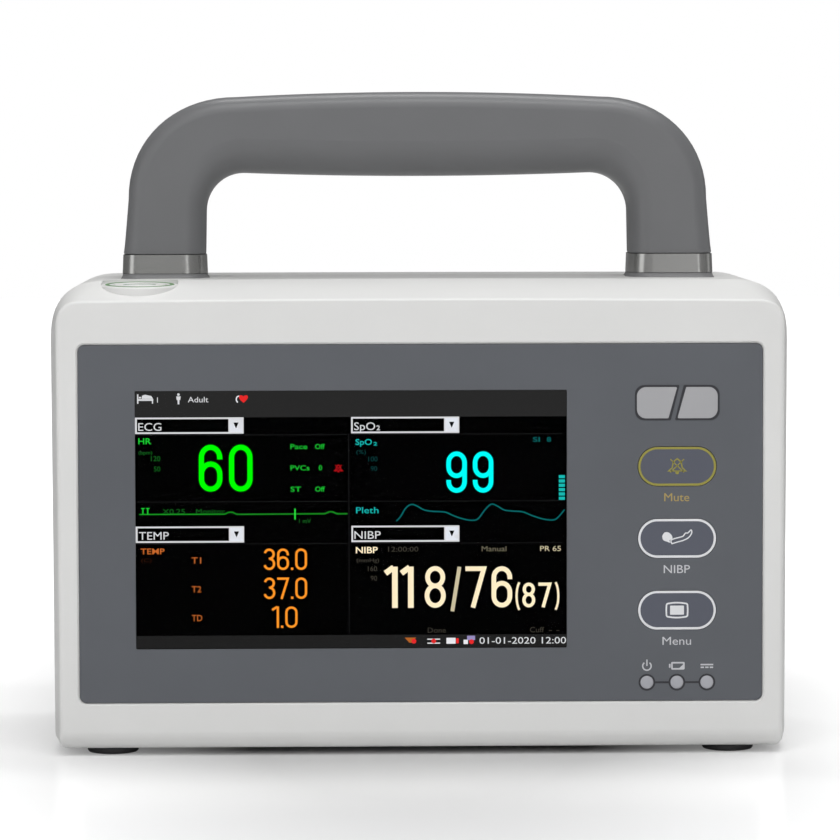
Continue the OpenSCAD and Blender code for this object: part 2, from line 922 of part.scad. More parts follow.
module port_flap() {
    half = flap_w / 2;
    color("dimgray") difference() {
        union() {
            along_x(side_x - 1.9, side_x) polygon(
                round_box([flap_y, (flap_low_z + flap_high_z) / 2], flap_w, flap_high_z - flap_low_z, 1.5));
            rod_y(flap_y - 3.5, flap_y + 3.5, hinge_x, flap_hinge_z, hinge_r);
            block([hinge_x - 0.7, hinge_x + 1], [flap_y - 3.5, flap_y + 3.5],
                [flap_high_z - 0.1, flap_hinge_z]);
        }
        rod_y(flap_y - half, flap_y + half, hinge_x, flap_hinge_z, hinge_bore_r);
    }
}

module flap_hinge_pin() {
    color("silver") rod_y(flap_y - 6.4, flap_y + 6.4, hinge_x, flap_hinge_z, hinge_pin_r);
}

// Multi-function socket behind the flap: supply, network and data on one plug
module multi_port() {
    mouth_x = side_x - 2.6;
    color("black") difference() {
        block([mouth_x - 13, mouth_x], [flap_y - 6.3, flap_y + 6.3], [flap_low_z + 1, flap_high_z - 1]);
        along_x(mouth_x - 8, mouth_x + 1) polygon(
            rounded([[flap_y - 4.5, flap_low_z + 4], [flap_y + 4.5, flap_low_z + 4],
                [flap_y + 4.5, flap_high_z - 4], [flap_y - 4.5, flap_high_z - 4]], [1, 3, 3, 1]));
    }
}

// Places children at the four threaded holes of the rear plate
module at_vesa() {
    for (x = [-vesa / 2, vesa / 2], z = [-vesa / 2, vesa / 2]) {
        translate([x, 0, plate_z + z]) children();
    }
}

// Places children at the four screws that hold the rear plate
module at_plate_screws() {
    reach = plate_w / 2 - 5;
    for (p = [[reach, 0], [0, reach], [-reach, 0], [0, -reach]]) {
        translate([p[0], 0, plate_z + p[1]]) children();
    }
}

module rear_mount_plate() {
    color("silver") difference() {
        union() {
            along_y(rear_y - plate_t, rear_y) polygon(round_box([0, plate_z], plate_w, plate_w, plate_r));
            at_vesa() rod_y(insert_y, rear_y - 1, 0, 0, insert_r);
        }
        at_vesa() rod_y(insert_y + 1.5, rear_y + 1, 0, 0, vesa_hole_r);
        at_plate_screws() rod_y(rear_y - 1.7, rear_y + 1, 0, 0, 2.9);
        at_plate_screws() rod_y(rear_y - plate_t - 1, rear_y, 0, 0, 1.5);
    }
}

module plate_screws() {
    color("silver") at_plate_screws() union() {
        rod_y(rear_y - 1.7, rear_y - 0.1, 0, 0, 2.75);
        rod_y(rear_y - plate_t - 6.5, rear_y - 1.6, 0, 0, 1.25);
    }
}

module case_screws() {
    color("silver") at_case_screws() union() {
        rod_y(case_head_y, case_head_y + 2, 0, 0, 2.75);
        rod_y(case_head_y - 19, case_head_y + 0.1, 0, 0, 1.5);
    }
}

// Places children at each foot
module at_feet() {
    for (x = [-foot_x, foot_x], y = [-foot_y, foot_y]) {
        translate([x, y, 0]) children();
    }
}

module rubber_foot_cups() {
    at_feet() rod_z(-1, base_z + foot_cup_d, 0, 0, foot_cup_r);
}

module rubber_feet() {
    color("black") at_feet() rod_z(0, base_z + foot_cup_d, 0, 0, foot_r);
}

// Inner frame of folded sheet that the boards bolt to
module chassis() {
    color("silver") difference() {
        union() {
            block([-66, 78], [chassis_y - 1.2, chassis_y], [10, 108]);
            block([-66, 78], [chassis_y - 1.2, chassis_y + 5], [8.8, 10]);
            block([-66, 78], [chassis_y - 1.2, chassis_y + 5], [108, 109.2]);
            for (x = [-54, 42], z = [20, 98]) {
                rod_y(main_board_y + board_t, chassis_y - 1, x, z, 2.5);
            }
        }
        block([-40, 0], [chassis_y - 2, chassis_y + 1], [60, 95]);
    }
}

module main_board() {
    color("darkgreen") union() {
        block([-60, 48], [main_board_y, main_board_y + board_t], [14, 104]);
        block([8, 34], [main_board_y - 5, main_board_y], [84, 92]);
        block([-56, -40], [main_board_y - 6, main_board_y], [40, 62]);
        block([-20, 4], [main_board_y + board_t, main_board_y + board_t + 4], [20, 32]);
    }
}

module heatsink() {
    fins = 6;
    pitch = 5;
    color("silver") union() {
        block([-30, -30 + fins * pitch], [main_board_y - 3, main_board_y], [48, 80]);
        for (i = [0:fins - 1]) {
            block([-30 + i * pitch, -28.4 + i * pitch], [main_board_y - 9, main_board_y - 2.9], [48, 80]);
        }
    }
}

module shield_can() {
    color("silver") difference() {
        block([8, 38], [main_board_y - 3.5, main_board_y], [24, 64]);
        block([8.4, 37.6], [main_board_y - 3.1, main_board_y + 1], [24.4, 63.6]);
    }
}

module power_board() {
    color("darkgreen") union() {
        block([4, 72], [power_board_y, power_board_y + board_t], [30, 88]);
        block([10, 30], [power_board_y + board_t, power_board_y + 12], [40, 62]);
        for (x = [36, 46], z = [38, 48]) {
            rod_y(power_board_y + board_t, power_board_y + 11, x, z, 3.6);
        }
        block([36, 54], [power_board_y + board_t, power_board_y + 8], [60, 84]);
    }
}

module parameter_board() {
    color("darkgreen") union() {
        block([parameter_board_x, parameter_board_x + board_t], [-19, 15], [36, 106]);
        block([parameter_board_x + board_t, parameter_board_x + 5], [-18, -4], [76, 98]);
        block([parameter_board_x + board_t, parameter_board_x + 4], [-10, 8], [46, 66]);
    }
}

module nibp_pump() {
    color("silver") union() {
        rod_z(14, 46, pump_x, pump_y, pump_r);
        rod_z(45.9, 58, pump_x, pump_y, pump_r - 1.5);
        rod_x(pump_x - pump_r - 4, pump_x - 8, pump_y, 24, 1.8);
    }
}

module pump_bracket() {
    color("dimgray") difference() {
        block([pump_x - pump_r - 3, pump_x + pump_r + 3], [chassis_y, pump_y + 6], [30, 40]);
        rod_z(29, 41, pump_x, pump_y, pump_r + 0.05);
    }
}

module nibp_manifold() {
    color("ivory") difference() {
        block([-68, pump_x - pump_r - 4], [-11, 9.5], [15, 33]);
        rod_x(-69, -60, socket_y, connector_z - 36, 2.6);
    }
}

module nibp_valves() {
    color("goldenrod") for (x = [-62, -52]) {
        union() {
            block([x - 4, x + 4], [-5, 5], [33, 47]);
            rod_z(46.9, 50, x, 0, 2.5);
        }
    }
}

module air_tube() {
    start_x = -side_x + socket_back + 0.3;
    color("lightgray") difference() {
        rod_x(start_x, -60.2, socket_y, connector_z - 36, 2.55);
        rod_x(start_x - 1, -60, socket_y, connector_z - 36, 1.2);
        rod_x(start_x - 1, -side_x + socket_back + 4.2, socket_y, connector_z - 36, 2.25);
    }
}

module speaker() {
    color("dimgray") union() {
        rod_y(rear_y - wall - 3, rear_y - wall - 0.3, speaker_x, speaker_z, 14);
        rod_y(rear_y - wall - 8, rear_y - wall - 2.9, speaker_x, speaker_z, 8);
    }
}

// Flat flex from the display to the main board, folded once
module display_cable() {
    start_y = lcd_back_y + 0.6;
    color("goldenrod") along_x(screen_x - 12, screen_x + 12) polygon([
        [start_y, screen_z + 20], [start_y + 0.4, screen_z + 20], [start_y + 0.4, screen_z + 26],
        [main_board_y, screen_z + 26], [main_board_y, screen_z + 26.4], [start_y, screen_z + 26.4]
    ]);
}

front_housing();
rear_cover();
housing_gasket();
front_panel();
touch_glass();
display_gasket();
lcd_panel();
lcd_frame();
mute_key();
nibp_key();
menu_key();
keypad_mat();
keypad_board();
alarm_lens_left();
alarm_lens_right();
alarm_board();
indicator_lenses();
power_button();
power_light_ring();
power_spring();
power_switch();
handle_grip();
handle_core();
collar_left();
collar_right();
handle_foot_left();
handle_foot_right();
handle_screws();
connector_panel();
ecg_socket();
spo2_socket();
temp_sockets();
ibp_sockets();
nibp_port();
battery_door();
door_hinge_pins();
door_lock();
battery_bay();
battery_pack();
battery_contacts();
port_flap();
flap_hinge_pin();
multi_port();
rear_mount_plate();
plate_screws();
case_screws();
rubber_feet();
chassis();
main_board();
heatsink();
shield_can();
power_board();
parameter_board();
nibp_pump();
pump_bracket();
nibp_manifold();
nibp_valves();
air_tube();
speaker();
display_cable();
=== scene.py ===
"""Looks of a portable patient monitor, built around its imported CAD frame.

Lengths are in millimetres and become metres where a mesh is made. The display faces -Y and +Z is up.
"""

import json
import math

import bmesh
import bpy
from mathutils import Matrix, Vector

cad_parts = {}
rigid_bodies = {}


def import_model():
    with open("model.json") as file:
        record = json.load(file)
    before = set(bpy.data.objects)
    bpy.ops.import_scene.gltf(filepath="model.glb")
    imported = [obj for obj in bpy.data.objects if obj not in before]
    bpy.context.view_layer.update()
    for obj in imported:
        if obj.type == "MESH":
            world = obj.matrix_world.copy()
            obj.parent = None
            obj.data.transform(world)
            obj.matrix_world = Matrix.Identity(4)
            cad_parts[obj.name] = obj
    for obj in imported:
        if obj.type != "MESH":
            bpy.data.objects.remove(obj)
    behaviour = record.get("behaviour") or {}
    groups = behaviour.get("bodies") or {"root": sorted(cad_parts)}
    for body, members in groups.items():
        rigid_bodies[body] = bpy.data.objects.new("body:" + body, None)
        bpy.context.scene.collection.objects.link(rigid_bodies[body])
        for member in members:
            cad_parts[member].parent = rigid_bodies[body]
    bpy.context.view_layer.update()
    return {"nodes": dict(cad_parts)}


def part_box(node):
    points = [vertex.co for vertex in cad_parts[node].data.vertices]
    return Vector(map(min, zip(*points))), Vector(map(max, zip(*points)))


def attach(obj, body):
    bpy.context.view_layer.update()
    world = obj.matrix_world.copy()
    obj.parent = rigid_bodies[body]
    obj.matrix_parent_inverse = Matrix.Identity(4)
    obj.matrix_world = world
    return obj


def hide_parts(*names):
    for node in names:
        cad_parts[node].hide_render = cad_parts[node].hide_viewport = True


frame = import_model()

MM = 0.001
MAIN = "monitor"


def span(node):
    """Lowest and highest corner of a CAD node, in millimetres."""
    low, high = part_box(node)
    return low / MM, high / MM


def middle(node):
    """Middle of a CAD node's box, in millimetres."""
    low, high = span(node)
    return (low + high) / 2


# ---------------------------------------------------------------- outlines


def corner_arc(before, corner, after, radius, steps):
    """Points of the arc that rounds a corner between its two neighbours."""
    a, p, b = Vector(before), Vector(corner), Vector(after)
    u, v = (a - p).normalized(), (b - p).normalized()
    half = math.acos(max(-1, min(1, u.dot(v)))) / 2
    centre = p + (u + v).normalized() * radius / math.sin(half)
    first = p + u * radius / math.tan(half) - centre
    last = p + v * radius / math.tan(half) - centre
    start = math.atan2(first.y, first.x)
    turn = math.atan2(last.y, last.x) - start
    turn = (turn + math.pi) % (2 * math.pi) - math.pi
    angles = [start + turn * i / steps for i in range(steps + 1)]
    return [(centre.x + radius * math.cos(t), centre.y + radius * math.sin(t)) for t in angles]


def rounded(points, radii, steps=8, closed=True):
    """Outline through points with its corners rounded; a radius of 0 leaves one sharp."""
    out = []
    for i, p in enumerate(points):
        if radii[i] <= 0 or (not closed and i in (0, len(points) - 1)):
            out.append(tuple(p))
        else:
            out += corner_arc(points[i - 1], p, points[(i + 1) % len(points)], radii[i], steps)
    return out


def box_outline(cx, cz, w, h, r, steps=8):
    """Rounded rectangle about a point."""
    x0, x1, z0, z1 = cx - w / 2, cx + w / 2, cz - h / 2, cz + h / 2
    return rounded([(x0, z0), (x1, z0), (x1, z1), (x0, z1)], [r] * 4, steps)


def span_outline(across, up, r, grow=0.0):
    """Rounded rectangle over two (low, high) ranges, with grow added to both sizes."""
    return box_outline(sum(across) / 2, sum(up) / 2, across[1] - across[0] + grow, up[1] - up[0] + grow, r)


def circle(cx, cz, r, steps=48):
    """Round outline about a point."""
    angles = [2 * math.pi * i / steps for i in range(steps)]
    return [(cx + r * math.cos(t), cz + r * math.sin(t)) for t in angles]


# ---------------------------------------------------------------- meshes

# Turns (u, v, along) into (x, y, z) for outlines drawn across each axis
TO_WORLD = {
    "x": Matrix(((0, 0, 1), (1, 0, 0), (0, 1, 0))),
    "y": Matrix(((1, 0, 0), (0, 0, -1), (0, 1, 0))),
    "z": Matrix.Identity(3),
}


def new_object(name, mesh):
    """Object for a mesh, linked to the scene."""
    obj = bpy.data.objects.new(name, mesh)
    bpy.context.scene.collection.objects.link(obj)
    return obj


def baked(obj):
    """Replaces an object's mesh with its evaluated one and clears its modifiers."""
    mesh = bpy.data.meshes.new_from_object(obj.evaluated_get(bpy.context.evaluated_depsgraph_get()))
    obj.modifiers.clear()
    obj.data = mesh
    return obj


def tidy_mesh(mesh):
    """Merges doubled points and turns every face outwards."""
    bm = bmesh.new()
    bm.from_mesh(mesh)
    bmesh.ops.remove_doubles(bm, verts=bm.verts, dist=2e-6)
    bmesh.ops.recalc_face_normals(bm, faces=bm.faces)
    bm.to_mesh(mesh)
    bm.free()
    return mesh


def faces_mesh(name, points, faces):
    """Mesh from points in millimetres."""
    mesh = bpy.data.meshes.new(name)
    mesh.from_pydata([Vector(p) * MM for p in points], [], faces)
    return tidy_mesh(mesh)


def plate_mesh(name, loops, axis, low, high, edge=0.0, steps=3):
    """Flat solid between low and high along an axis. The first loop is its outline, the others are holes."""
    curve = bpy.data.curves.new(name, "CURVE")
    curve.dimensions = "2D"
    curve.fill_mode = "BOTH"
    curve.extrude = ((high - low) / 2 - edge) * MM
    curve.bevel_depth = edge * MM
    curve.bevel_resolution = steps
    curve.offset = -edge * MM
    for loop in loops:
        spline = curve.splines.new("POLY")
        spline.points.add(len(loop) - 1)
        for point, (u, v) in zip(spline.points, loop):
            point.co = (u * MM, v * MM, 0, 1)
        spline.use_cyclic_u = True
    obj = new_object(name, curve)
    bpy.context.view_layer.update()
    mesh = bpy.data.meshes.new_from_object(obj)
    bpy.data.objects.remove(obj)
    bpy.data.curves.remove(curve)
    along = -1 if axis == "y" else 1
    mesh.transform(Matrix.Translation((0, 0, along * (low + high) / 2 * MM)))
    mesh.transform(TO_WORLD[axis].to_4x4())
    return tidy_mesh(mesh)


def loft_mesh(name, rings, caps=True, around=True):
    """Skin over rings that have the same number of points."""
    count = len(rings[0])
    points = [p for ring in rings for p in ring]
    faces = []
    for i in range(len(rings) - 1):
        for j in range(count if around else count - 1):
            k = (j + 1) % count
            faces.append((i * count + j, i * count + k, (i + 1) * count + k, (i + 1) * count + j))
    if caps:
        faces += [tuple(range(count)), tuple(len(points) - 1 - i for i in range(count))]
    return faces_mesh(name, points, faces)


def lathe_mesh(name, profile, centre, axis, steps=64):
    """Solid of revolution about an axis through centre; the profile is (radius, along) pairs."""
    turn = TO_WORLD[axis]
    rings = []
    for i in range(steps):
        t = 2 * math.pi * i / steps
        rings.append([Vector(centre) + turn @ Vector((r * math.cos(t), r * math.sin(t), a))
                      for r, a in profile])
    rings.append(rings[0])
    return loft_mesh(name, rings, caps=False)


def joined(name, meshes):
    """One mesh made of several."""
    bm = bmesh.new()
    for mesh in meshes:
        bm.from_mesh(mesh)
        bpy.data.meshes.remove(mesh)
    out = bpy.data.meshes.new(name)
    bm.to_mesh(out)
    bm.free()
    return out


def carved(mesh, cutters):
    """Mesh with the cutters taken out of it."""
    obj = new_object("blank", mesh)
    group = bpy.data.collections.new("cutters")
    bpy.context.scene.collection.children.link(group)
    for cutter in cutters:
        tool = bpy.data.objects.new("cutter", cutter)
        group.objects.link(tool)
    cut = obj.modifiers.new("cut", "BOOLEAN")
    cut.operation = "DIFFERENCE"
    cut.operand_type = "COLLECTION"
    cut.collection = group
    cut.solver = "EXACT"
    baked(obj)
    out = obj.data
    for tool in list(group.objects):
        bpy.data.objects.remove(tool)
    bpy.data.collections.remove(group)
    bpy.data.objects.remove(obj)
    return out


def piece(name, mesh, material, body=MAIN, stands_for=(), sharp=35, weighted=True):
    """A finished piece: shaded, painted, riding on its body and standing for its CAD nodes."""
    mesh.name = name
    mesh.materials.clear()
    mesh.materials.append(material)
    mesh.shade_smooth()
    mesh.set_sharp_from_angle(angle=math.radians(sharp))
    obj = new_object(name, mesh)
    if weighted:
        even = obj.modifiers.new("even", "WEIGHTED_NORMAL")
        even.keep_sharp = True
    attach(obj, body)
    if stands_for:
        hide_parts(*stands_for)
    return obj


# ---------------------------------------------------------------- materials


def material(name, colour, roughness, metallic=0.0, grain=0.0, grain_size=0.6, tint=0.03, spread=0.04,
             **extra):
    """Moulded or machined surface: slight colour drift, uneven gloss and a fine grain in the normals."""
    mat = bpy.data.materials.new(name)
    mat.use_nodes = True
    nodes, links = mat.node_tree.nodes, mat.node_tree.links
    shader = nodes["Principled BSDF"]
    shader.inputs["Metallic"].default_value = metallic
    for socket, value in extra.items():
        shader.inputs[socket.replace("_", " ")].default_value = value
    place = nodes.new("ShaderNodeTexCoord")
    drift = nodes.new("ShaderNodeTexNoise")
    drift.inputs["Scale"].default_value = 55
    drift.inputs["Detail"].default_value = 3
    links.new(place.outputs["Object"], drift.inputs["Vector"])
    ramp = nodes.new("ShaderNodeValToRGB")
    ramp.color_ramp.elements[0].position = 0.3
    ramp.color_ramp.elements[1].position = 0.7
    ramp.color_ramp.elements[0].color = [c * (1 - tint) for c in colour] + [1]
    ramp.color_ramp.elements[1].color = [min(1, c * (1 + tint)) for c in colour] + [1]
    links.new(drift.outputs["Fac"], ramp.inputs["Fac"])
    links.new(ramp.outputs["Color"], shader.inputs["Base Color"])
    fine = nodes.new("ShaderNodeTexNoise")
    fine.inputs["Scale"].default_value = 1000 / grain_size
    fine.inputs["Detail"].default_value = 2
    links.new(place.outputs["Object"], fine.inputs["Vector"])
    gloss = nodes.new("ShaderNodeMapRange")
    gloss.inputs["To Min"].default_value = roughness - spread
    gloss.inputs["To Max"].default_value = roughness + spread
    links.new(fine.outputs["Fac"], gloss.inputs["Value"])
    links.new(gloss.outputs["Result"], shader.inputs["Roughness"])
    if grain:
        bump = nodes.new("ShaderNodeBump")
        bump.inputs["Strength"].default_value = grain
        bump.inputs["Distance"].default_value = 0.0002
        links.new(fine.outputs["Fac"], bump.inputs["Height"])
        links.new(bump.outputs["Normal"], shader.inputs["Normal"])
    return mat


def glowing(name, colour, strength=1.0):
    """Lit part of the display: dark film that shines in one colour."""
    mat = material(name, [c * 0.02 for c in colour], 0.5, tint=0.1)
    shader = mat.node_tree.nodes["Principled BSDF"]
    shader.inputs["Emission Color"].default_value = list(colour) + [1]
    shader.inputs["Emission Strength"].default_value = strength
    shader.inputs["Specular IOR Level"].default_value = 0.0
    return mat


def clear(name, colour, ior):
    """Clear glass."""
    mat = material(name, colour, 0.004, tint=0.0, spread=0.003)
    shader = mat.node_tree.nodes["Principled BSDF"]
    shader.inputs["Transmission Weight"].default_value = 1.0
    shader.inputs["IOR"].default_value = ior
    return mat


def srgb(*values):
    """Linear colour from display values of 0 to 255."""
    return [((v / 255 + 0.055) / 1.055) ** 2.4 if v > 10 else v / 255 / 12.92 for v in values]


housing_mat = material("housing_plastic", (0.75, 0.75, 0.74), 0.42, grain=0.05, grain_size=0.7, tint=0.012)
panel_mat = material("panel_film", (0.099, 0.106, 0.12), 0.45, grain=0.06, grain_size=0.35)
key_mat = material("key_film", (0.086, 0.093, 0.122), 0.42, grain=0.06, grain_size=0.35)
handle_mat = material("handle_plastic", (0.146, 0.148, 0.153), 0.4, grain=0.07, grain_size=0.5)
foot_mat = material("foot_plastic", (0.175, 0.177, 0.18), 0.45, grain=0.05)
collar_mat = material("collar_metal", (0.42, 0.42, 0.41), 0.24, metallic=1.0, grain=0.02, grain_size=0.3)
steel_mat = material("bright_steel", (0.55, 0.55, 0.54), 0.3, metallic=1.0, grain=0.03, grain_size=0.3)
sheet_mat = material("sheet_metal", (0.5, 0.51, 0.52), 0.4, metallic=1.0, grain=0.04)
dark_mat = material("dark_plastic", (0.045, 0.047, 0.052), 0.45, grain=0.08)
socket_panel_mat = material("socket_panel_plastic", (0.12, 0.123, 0.13), 0.5, grain=0.1)
rubber_mat = material("rubber", (0.025, 0.025, 0.027), 0.7, grain=0.15)
silicone_mat = material("silicone", (0.3, 0.31, 0.33), 0.55, grain=0.05)
white_mat = material("white_plastic", (0.8, 0.8, 0.79), 0.35, grain=0.02)
lamp_mat = material("lamp_lens", (0.4, 0.4, 0.415), 0.3, grain=0.05, grain_size=1.2)
led_mat = material("indicator_lens", (0.4, 0.405, 0.44), 0.3, grain=0.04)
outline_mat = material("dark_print", srgb(42, 42, 48), 0.45)
print_mat = material("light_print", srgb(200, 201, 205), 0.5)
mute_print_mat = material("olive_print", srgb(150, 143, 62), 0.5)
word_print_mat = material("tan_print", srgb(172, 151, 88), 0.5)
outline_print_mat = material("bright_print", srgb(226, 227, 230), 0.5)
board_mat = material("circuit_board", (0.02, 0.11, 0.045), 0.4, grain=0.1)
green_mat = material("green_plastic", (0.05, 0.28, 0.12), 0.4, grain=0.04)
blue_mat = material("blue_plastic", (0.04, 0.13, 0.4), 0.4, grain=0.04)
brown_mat = material("brown_plastic", (0.2, 0.09, 0.05), 0.4, grain=0.04)
red_mat = material("red_plastic", (0.42, 0.035, 0.04), 0.4, grain=0.04)
gold_mat = material("gold_contact", (0.85, 0.6, 0.25), 0.25, metallic=1.0)
battery_mat = material("battery_shell", (0.06, 0.062, 0.068), 0.5, grain=0.08)
ivory_mat = material("ivory_plastic", (0.72, 0.68, 0.56), 0.45, grain=0.04)
flex_mat = material("flex_film", (0.62, 0.36, 0.08), 0.3)
pump_mat = material("pump_metal", (0.5, 0.5, 0.52), 0.35, metallic=1.0, grain=0.04)
lcd_mat = material("lcd", (0.0008, 0.0008, 0.001), 0.35, Specular_IOR_Level=0.0)
glass_mat = clear("display_glass", (1, 1, 1), 1.03)
glow_mat = glowing("light_guide", (0.5, 0.8, 0.46), 0.35)
mark_mat = material("green_print", (0.06, 0.2, 0.08), 0.5)

# Materials of the CAD nodes that stay as they are
KEPT = {
    "housing_gasket": rubber_mat, "display_gasket": dark_mat, "lcd_panel": lcd_mat, "lcd_frame": sheet_mat,
    "touch_glass": glass_mat, "keypad_mat": silicone_mat, "keypad_board": board_mat, "alarm_board": board_mat,
    "power_spring": steel_mat, "power_switch": board_mat, "handle_core": sheet_mat,
    "handle_screws": steel_mat,
    "door_hinge_pins": steel_mat, "battery_bay": dark_mat, "battery_contacts": gold_mat,
    "flap_hinge_pin": steel_mat, "chassis": sheet_mat, "main_board": board_mat, "heatsink": sheet_mat,
    "shield_can": sheet_mat, "power_board": board_mat, "parameter_board": board_mat, "nibp_pump": pump_mat,
    "pump_bracket": dark_mat, "nibp_manifold": ivory_mat, "nibp_valves": gold_mat, "air_tube": silicone_mat,
    "speaker": dark_mat, "display_cable": flex_mat,
}
for node_name, node_material in KEPT.items():
    node_mesh = frame["nodes"][node_name].data
    node_mesh.materials.clear()
    node_mesh.materials.append(node_material)


# ---------------------------------------------------------------- housing

front_low, front_high = span("front_housing")
rear_high = span("rear_cover")[1]
front_y, seam_y, rear_y = front_low.y, front_high.y, rear_high.y
half_w, base_z, top_z = front_high.x, front_low.z, front_high.z
CROWN = [(-28, 0.5), (30, 0.1)]
CORNER_POWER = 2.6
TAPER = 0.4
WALL = 2.5
SHOULDER = (16, 5.0)
CREASE_DROP = 0.2
FLARE = (15, 2.3)
REAR_SLOPE = (8, 4)
REAR_DRAFT = 3.5
CORNER_STEPS = 14
TOP_STEPS = 24
FAR = 30


def profile(points, radii, steps=8):
    """How far one side of the housing is drawn in, as (depth, inset) pairs with rounded corners."""
    return rounded(points, radii, steps, closed=False)[1:-1]


SIDE_INSET = profile(
    [(front_y, FAR), (front_y, FLARE[1]), (front_y + FLARE[0], 0), (rear_y - 8, 0), (rear_y, REAR_DRAFT),
     (rear_y, FAR)],
    [0, 1.3, 40, 12, 2.5, 0],
)
TOP_INSET = profile(
    [(front_y, FAR), (front_y, SHOULDER[1]), (front_y + SHOULDER[0], CREASE_DROP),
     (rear_y - REAR_SLOPE[0], -0.1), (rear_y, REAR_SLOPE[1]), (rear_y, FAR)],
    [0, 0.8, 4, 8, 2.5, 0],
)
LOW_INSET = profile([(front_y, FAR), (front_y, 0), (rear_y, 0), (rear_y, FAR)], [0, 5, 2.5, 0], 12)
TOP_RADIUS = [(front_y, 6.3), (front_y + 1.3, 7.6), (front_y + FLARE[0], 15), (rear_y - 8, 15), (rear_y, 10)]
LOW_RADIUS = [(front_y, 0.9), (front_y + 5, 3), (rear_y - 2.5, 3), (rear_y, 1.5)]


def at_depth(pairs, y):
    """Value of a profile at a depth, by straight lines between its points."""
    if y <= pairs[0][0]:
        return pairs[0][1]
    for (y0, v0), (y1, v1) in zip(pairs, pairs[1:]):
        if y0 <= y <= y1 and y1 > y0:
            return v0 + (v1 - v0) * (y - y0) / (y1 - y0)
    return pairs[-1][1]


def housing_top(x, y):
    """Height of the housing's top surface."""
    return top_z - at_depth(TOP_INSET, y) - at_depth(CROWN, y) * (x / half_w) ** 2


def housing_ring(y, inset=0.0):
    """Section of the housing at a depth, drawn in by inset."""
    half = half_w - at_depth(SIDE_INSET, y) - inset
    low = base_z + at_depth(LOW_INSET, y) + inset
    r_top = at_depth(TOP_RADIUS, y) - inset
    r_low = max(0.6, at_depth(LOW_RADIUS, y) - inset)
    half_low = half - TAPER
    corner_x = half - r_top
    corner_z = housing_top(corner_x, y) - inset - r_top
    right = []
    for i in range(CORNER_STEPS + 1):
        t = math.pi / 2 * i / CORNER_STEPS - math.pi / 2
        right.append((half_low - r_low + r_low * math.cos(t), low + r_low + r_low * math.sin(t)))
    for i in range(CORNER_STEPS + 1):
        t = math.pi / 2 * i / CORNER_STEPS
        across, up = (max(0, part) ** (2 / CORNER_POWER) for part in (math.cos(t), math.sin(t)))
        right.append((corner_x + r_top * across, corner_z + r_top * up))
    crest = [corner_x * (1 - 2 * i / TOP_STEPS) for i in range(1, TOP_STEPS)]
    top = [(x, housing_top(x, y) - inset) for x in crest]
    left = [(-x, z) for x, z in reversed(right)]
    return [(x, y, z) for x, z in right + top + left]


def stations(low, high, step=9.0):
    """Depths between two limits where any profile bends, with no stretch longer than step."""
    bends = [y for pairs in (SIDE_INSET, TOP_INSET, LOW_INSET) for y, _ in pairs]
    depths = sorted([low, high] + [y for y in bends if low < y < high])
    out = [depths[0]]
    for y in depths[1:]:
        gap = y - out[-1]
        if gap < 0.03:
            continue
        parts = math.ceil(gap / step)
        out += [out[-1] + gap * (i + 1) / parts for i in range(parts)]
    return out


def cylinder_mesh(axis, low, high, u, v, r):
    """Round bar between low and high along an axis, for carving."""
    return plate_mesh("bar", [circle(u, v, r)], axis, low, high)


def block_mesh(xs, ys, zs, r=0.01, axis="y"):
    """Box with its edges along one axis rounded, for carving."""
    spans = {"x": (ys, zs, xs), "y": (xs, zs, ys), "z": (xs, ys, zs)}[axis]
    (u0, u1), (v0, v1), (low, high) = spans
    outline = box_outline((u0 + u1) / 2, (v0 + v1) / 2, u1 - u0, v1 - v0, r)
    return plate_mesh("block", [outline], axis, low, high)


panel_low, panel_high = span("front_panel")
panel_mid = (panel_low + panel_high) / 2
panel_w, panel_h = panel_high.x - panel_low.x, panel_high.z - panel_low.z
PANEL_R = 1.8
panel_y = panel_low.y
inside_y = front_y + 3.7
KEYS = {"mute_key": "mute", "nibp_key": "nibp", "menu_key": "menu"}
KEY_GAP = 0.12
FOOT_XS, FOOT_YS = (-78, 78), (-33, 33)


def key_loop(node, grow=0.0):
    """Stadium outline of a key."""
    low, high = span(node)
    mid = (low + high) / 2
    w, h = high.x - low.x + 2 * grow, high.z - low.z + 2 * grow
    return box_outline(mid.x, mid.z, w, h, h / 2 - 0.02, 16)


def lamp_loop(node, side, grow=0.0):
    """Outline of one alarm lamp: round on its outer side, slanted where the pair meets."""
    low, high = span(node)
    x0, x1, z0, z1 = low.x - grow, high.x + grow, low.z - grow, high.z + grow
    slant = 2.2
    lean = grow * 0.26
    if side < 0:
        return rounded([(x0, z0), (x1 - slant + lean, z0), (x1 + lean, z1), (x0, z1)], [2.3, 0.3, 0.3, 2.3])
    return rounded([(x0 - lean, z0), (x1, z0), (x1, z1), (x0 + slant - lean, z1)], [0.3, 2.3, 2.3, 0.3])


def recess_mesh(w, h, r, depth, bevel):
    """Cutter for the front panel's recess, with a bevelled rim."""
    rings = []
    for y, grow in ((front_y - 1, bevel + 1), (front_y + bevel, 0), (depth, 0)):
        outline = box_outline(panel_mid.x, panel_mid.z, w + 2 * grow, h + 2 * grow, r + grow)
        rings.append([(x, y, z) for x, z in outline])
    return loft_mesh("recess", rings)


def side_prism(x0, x1, loop):
    """Cutter along X from a loop of (y, z)."""
    return plate_mesh("prism", [loop], "x", x0, x1)


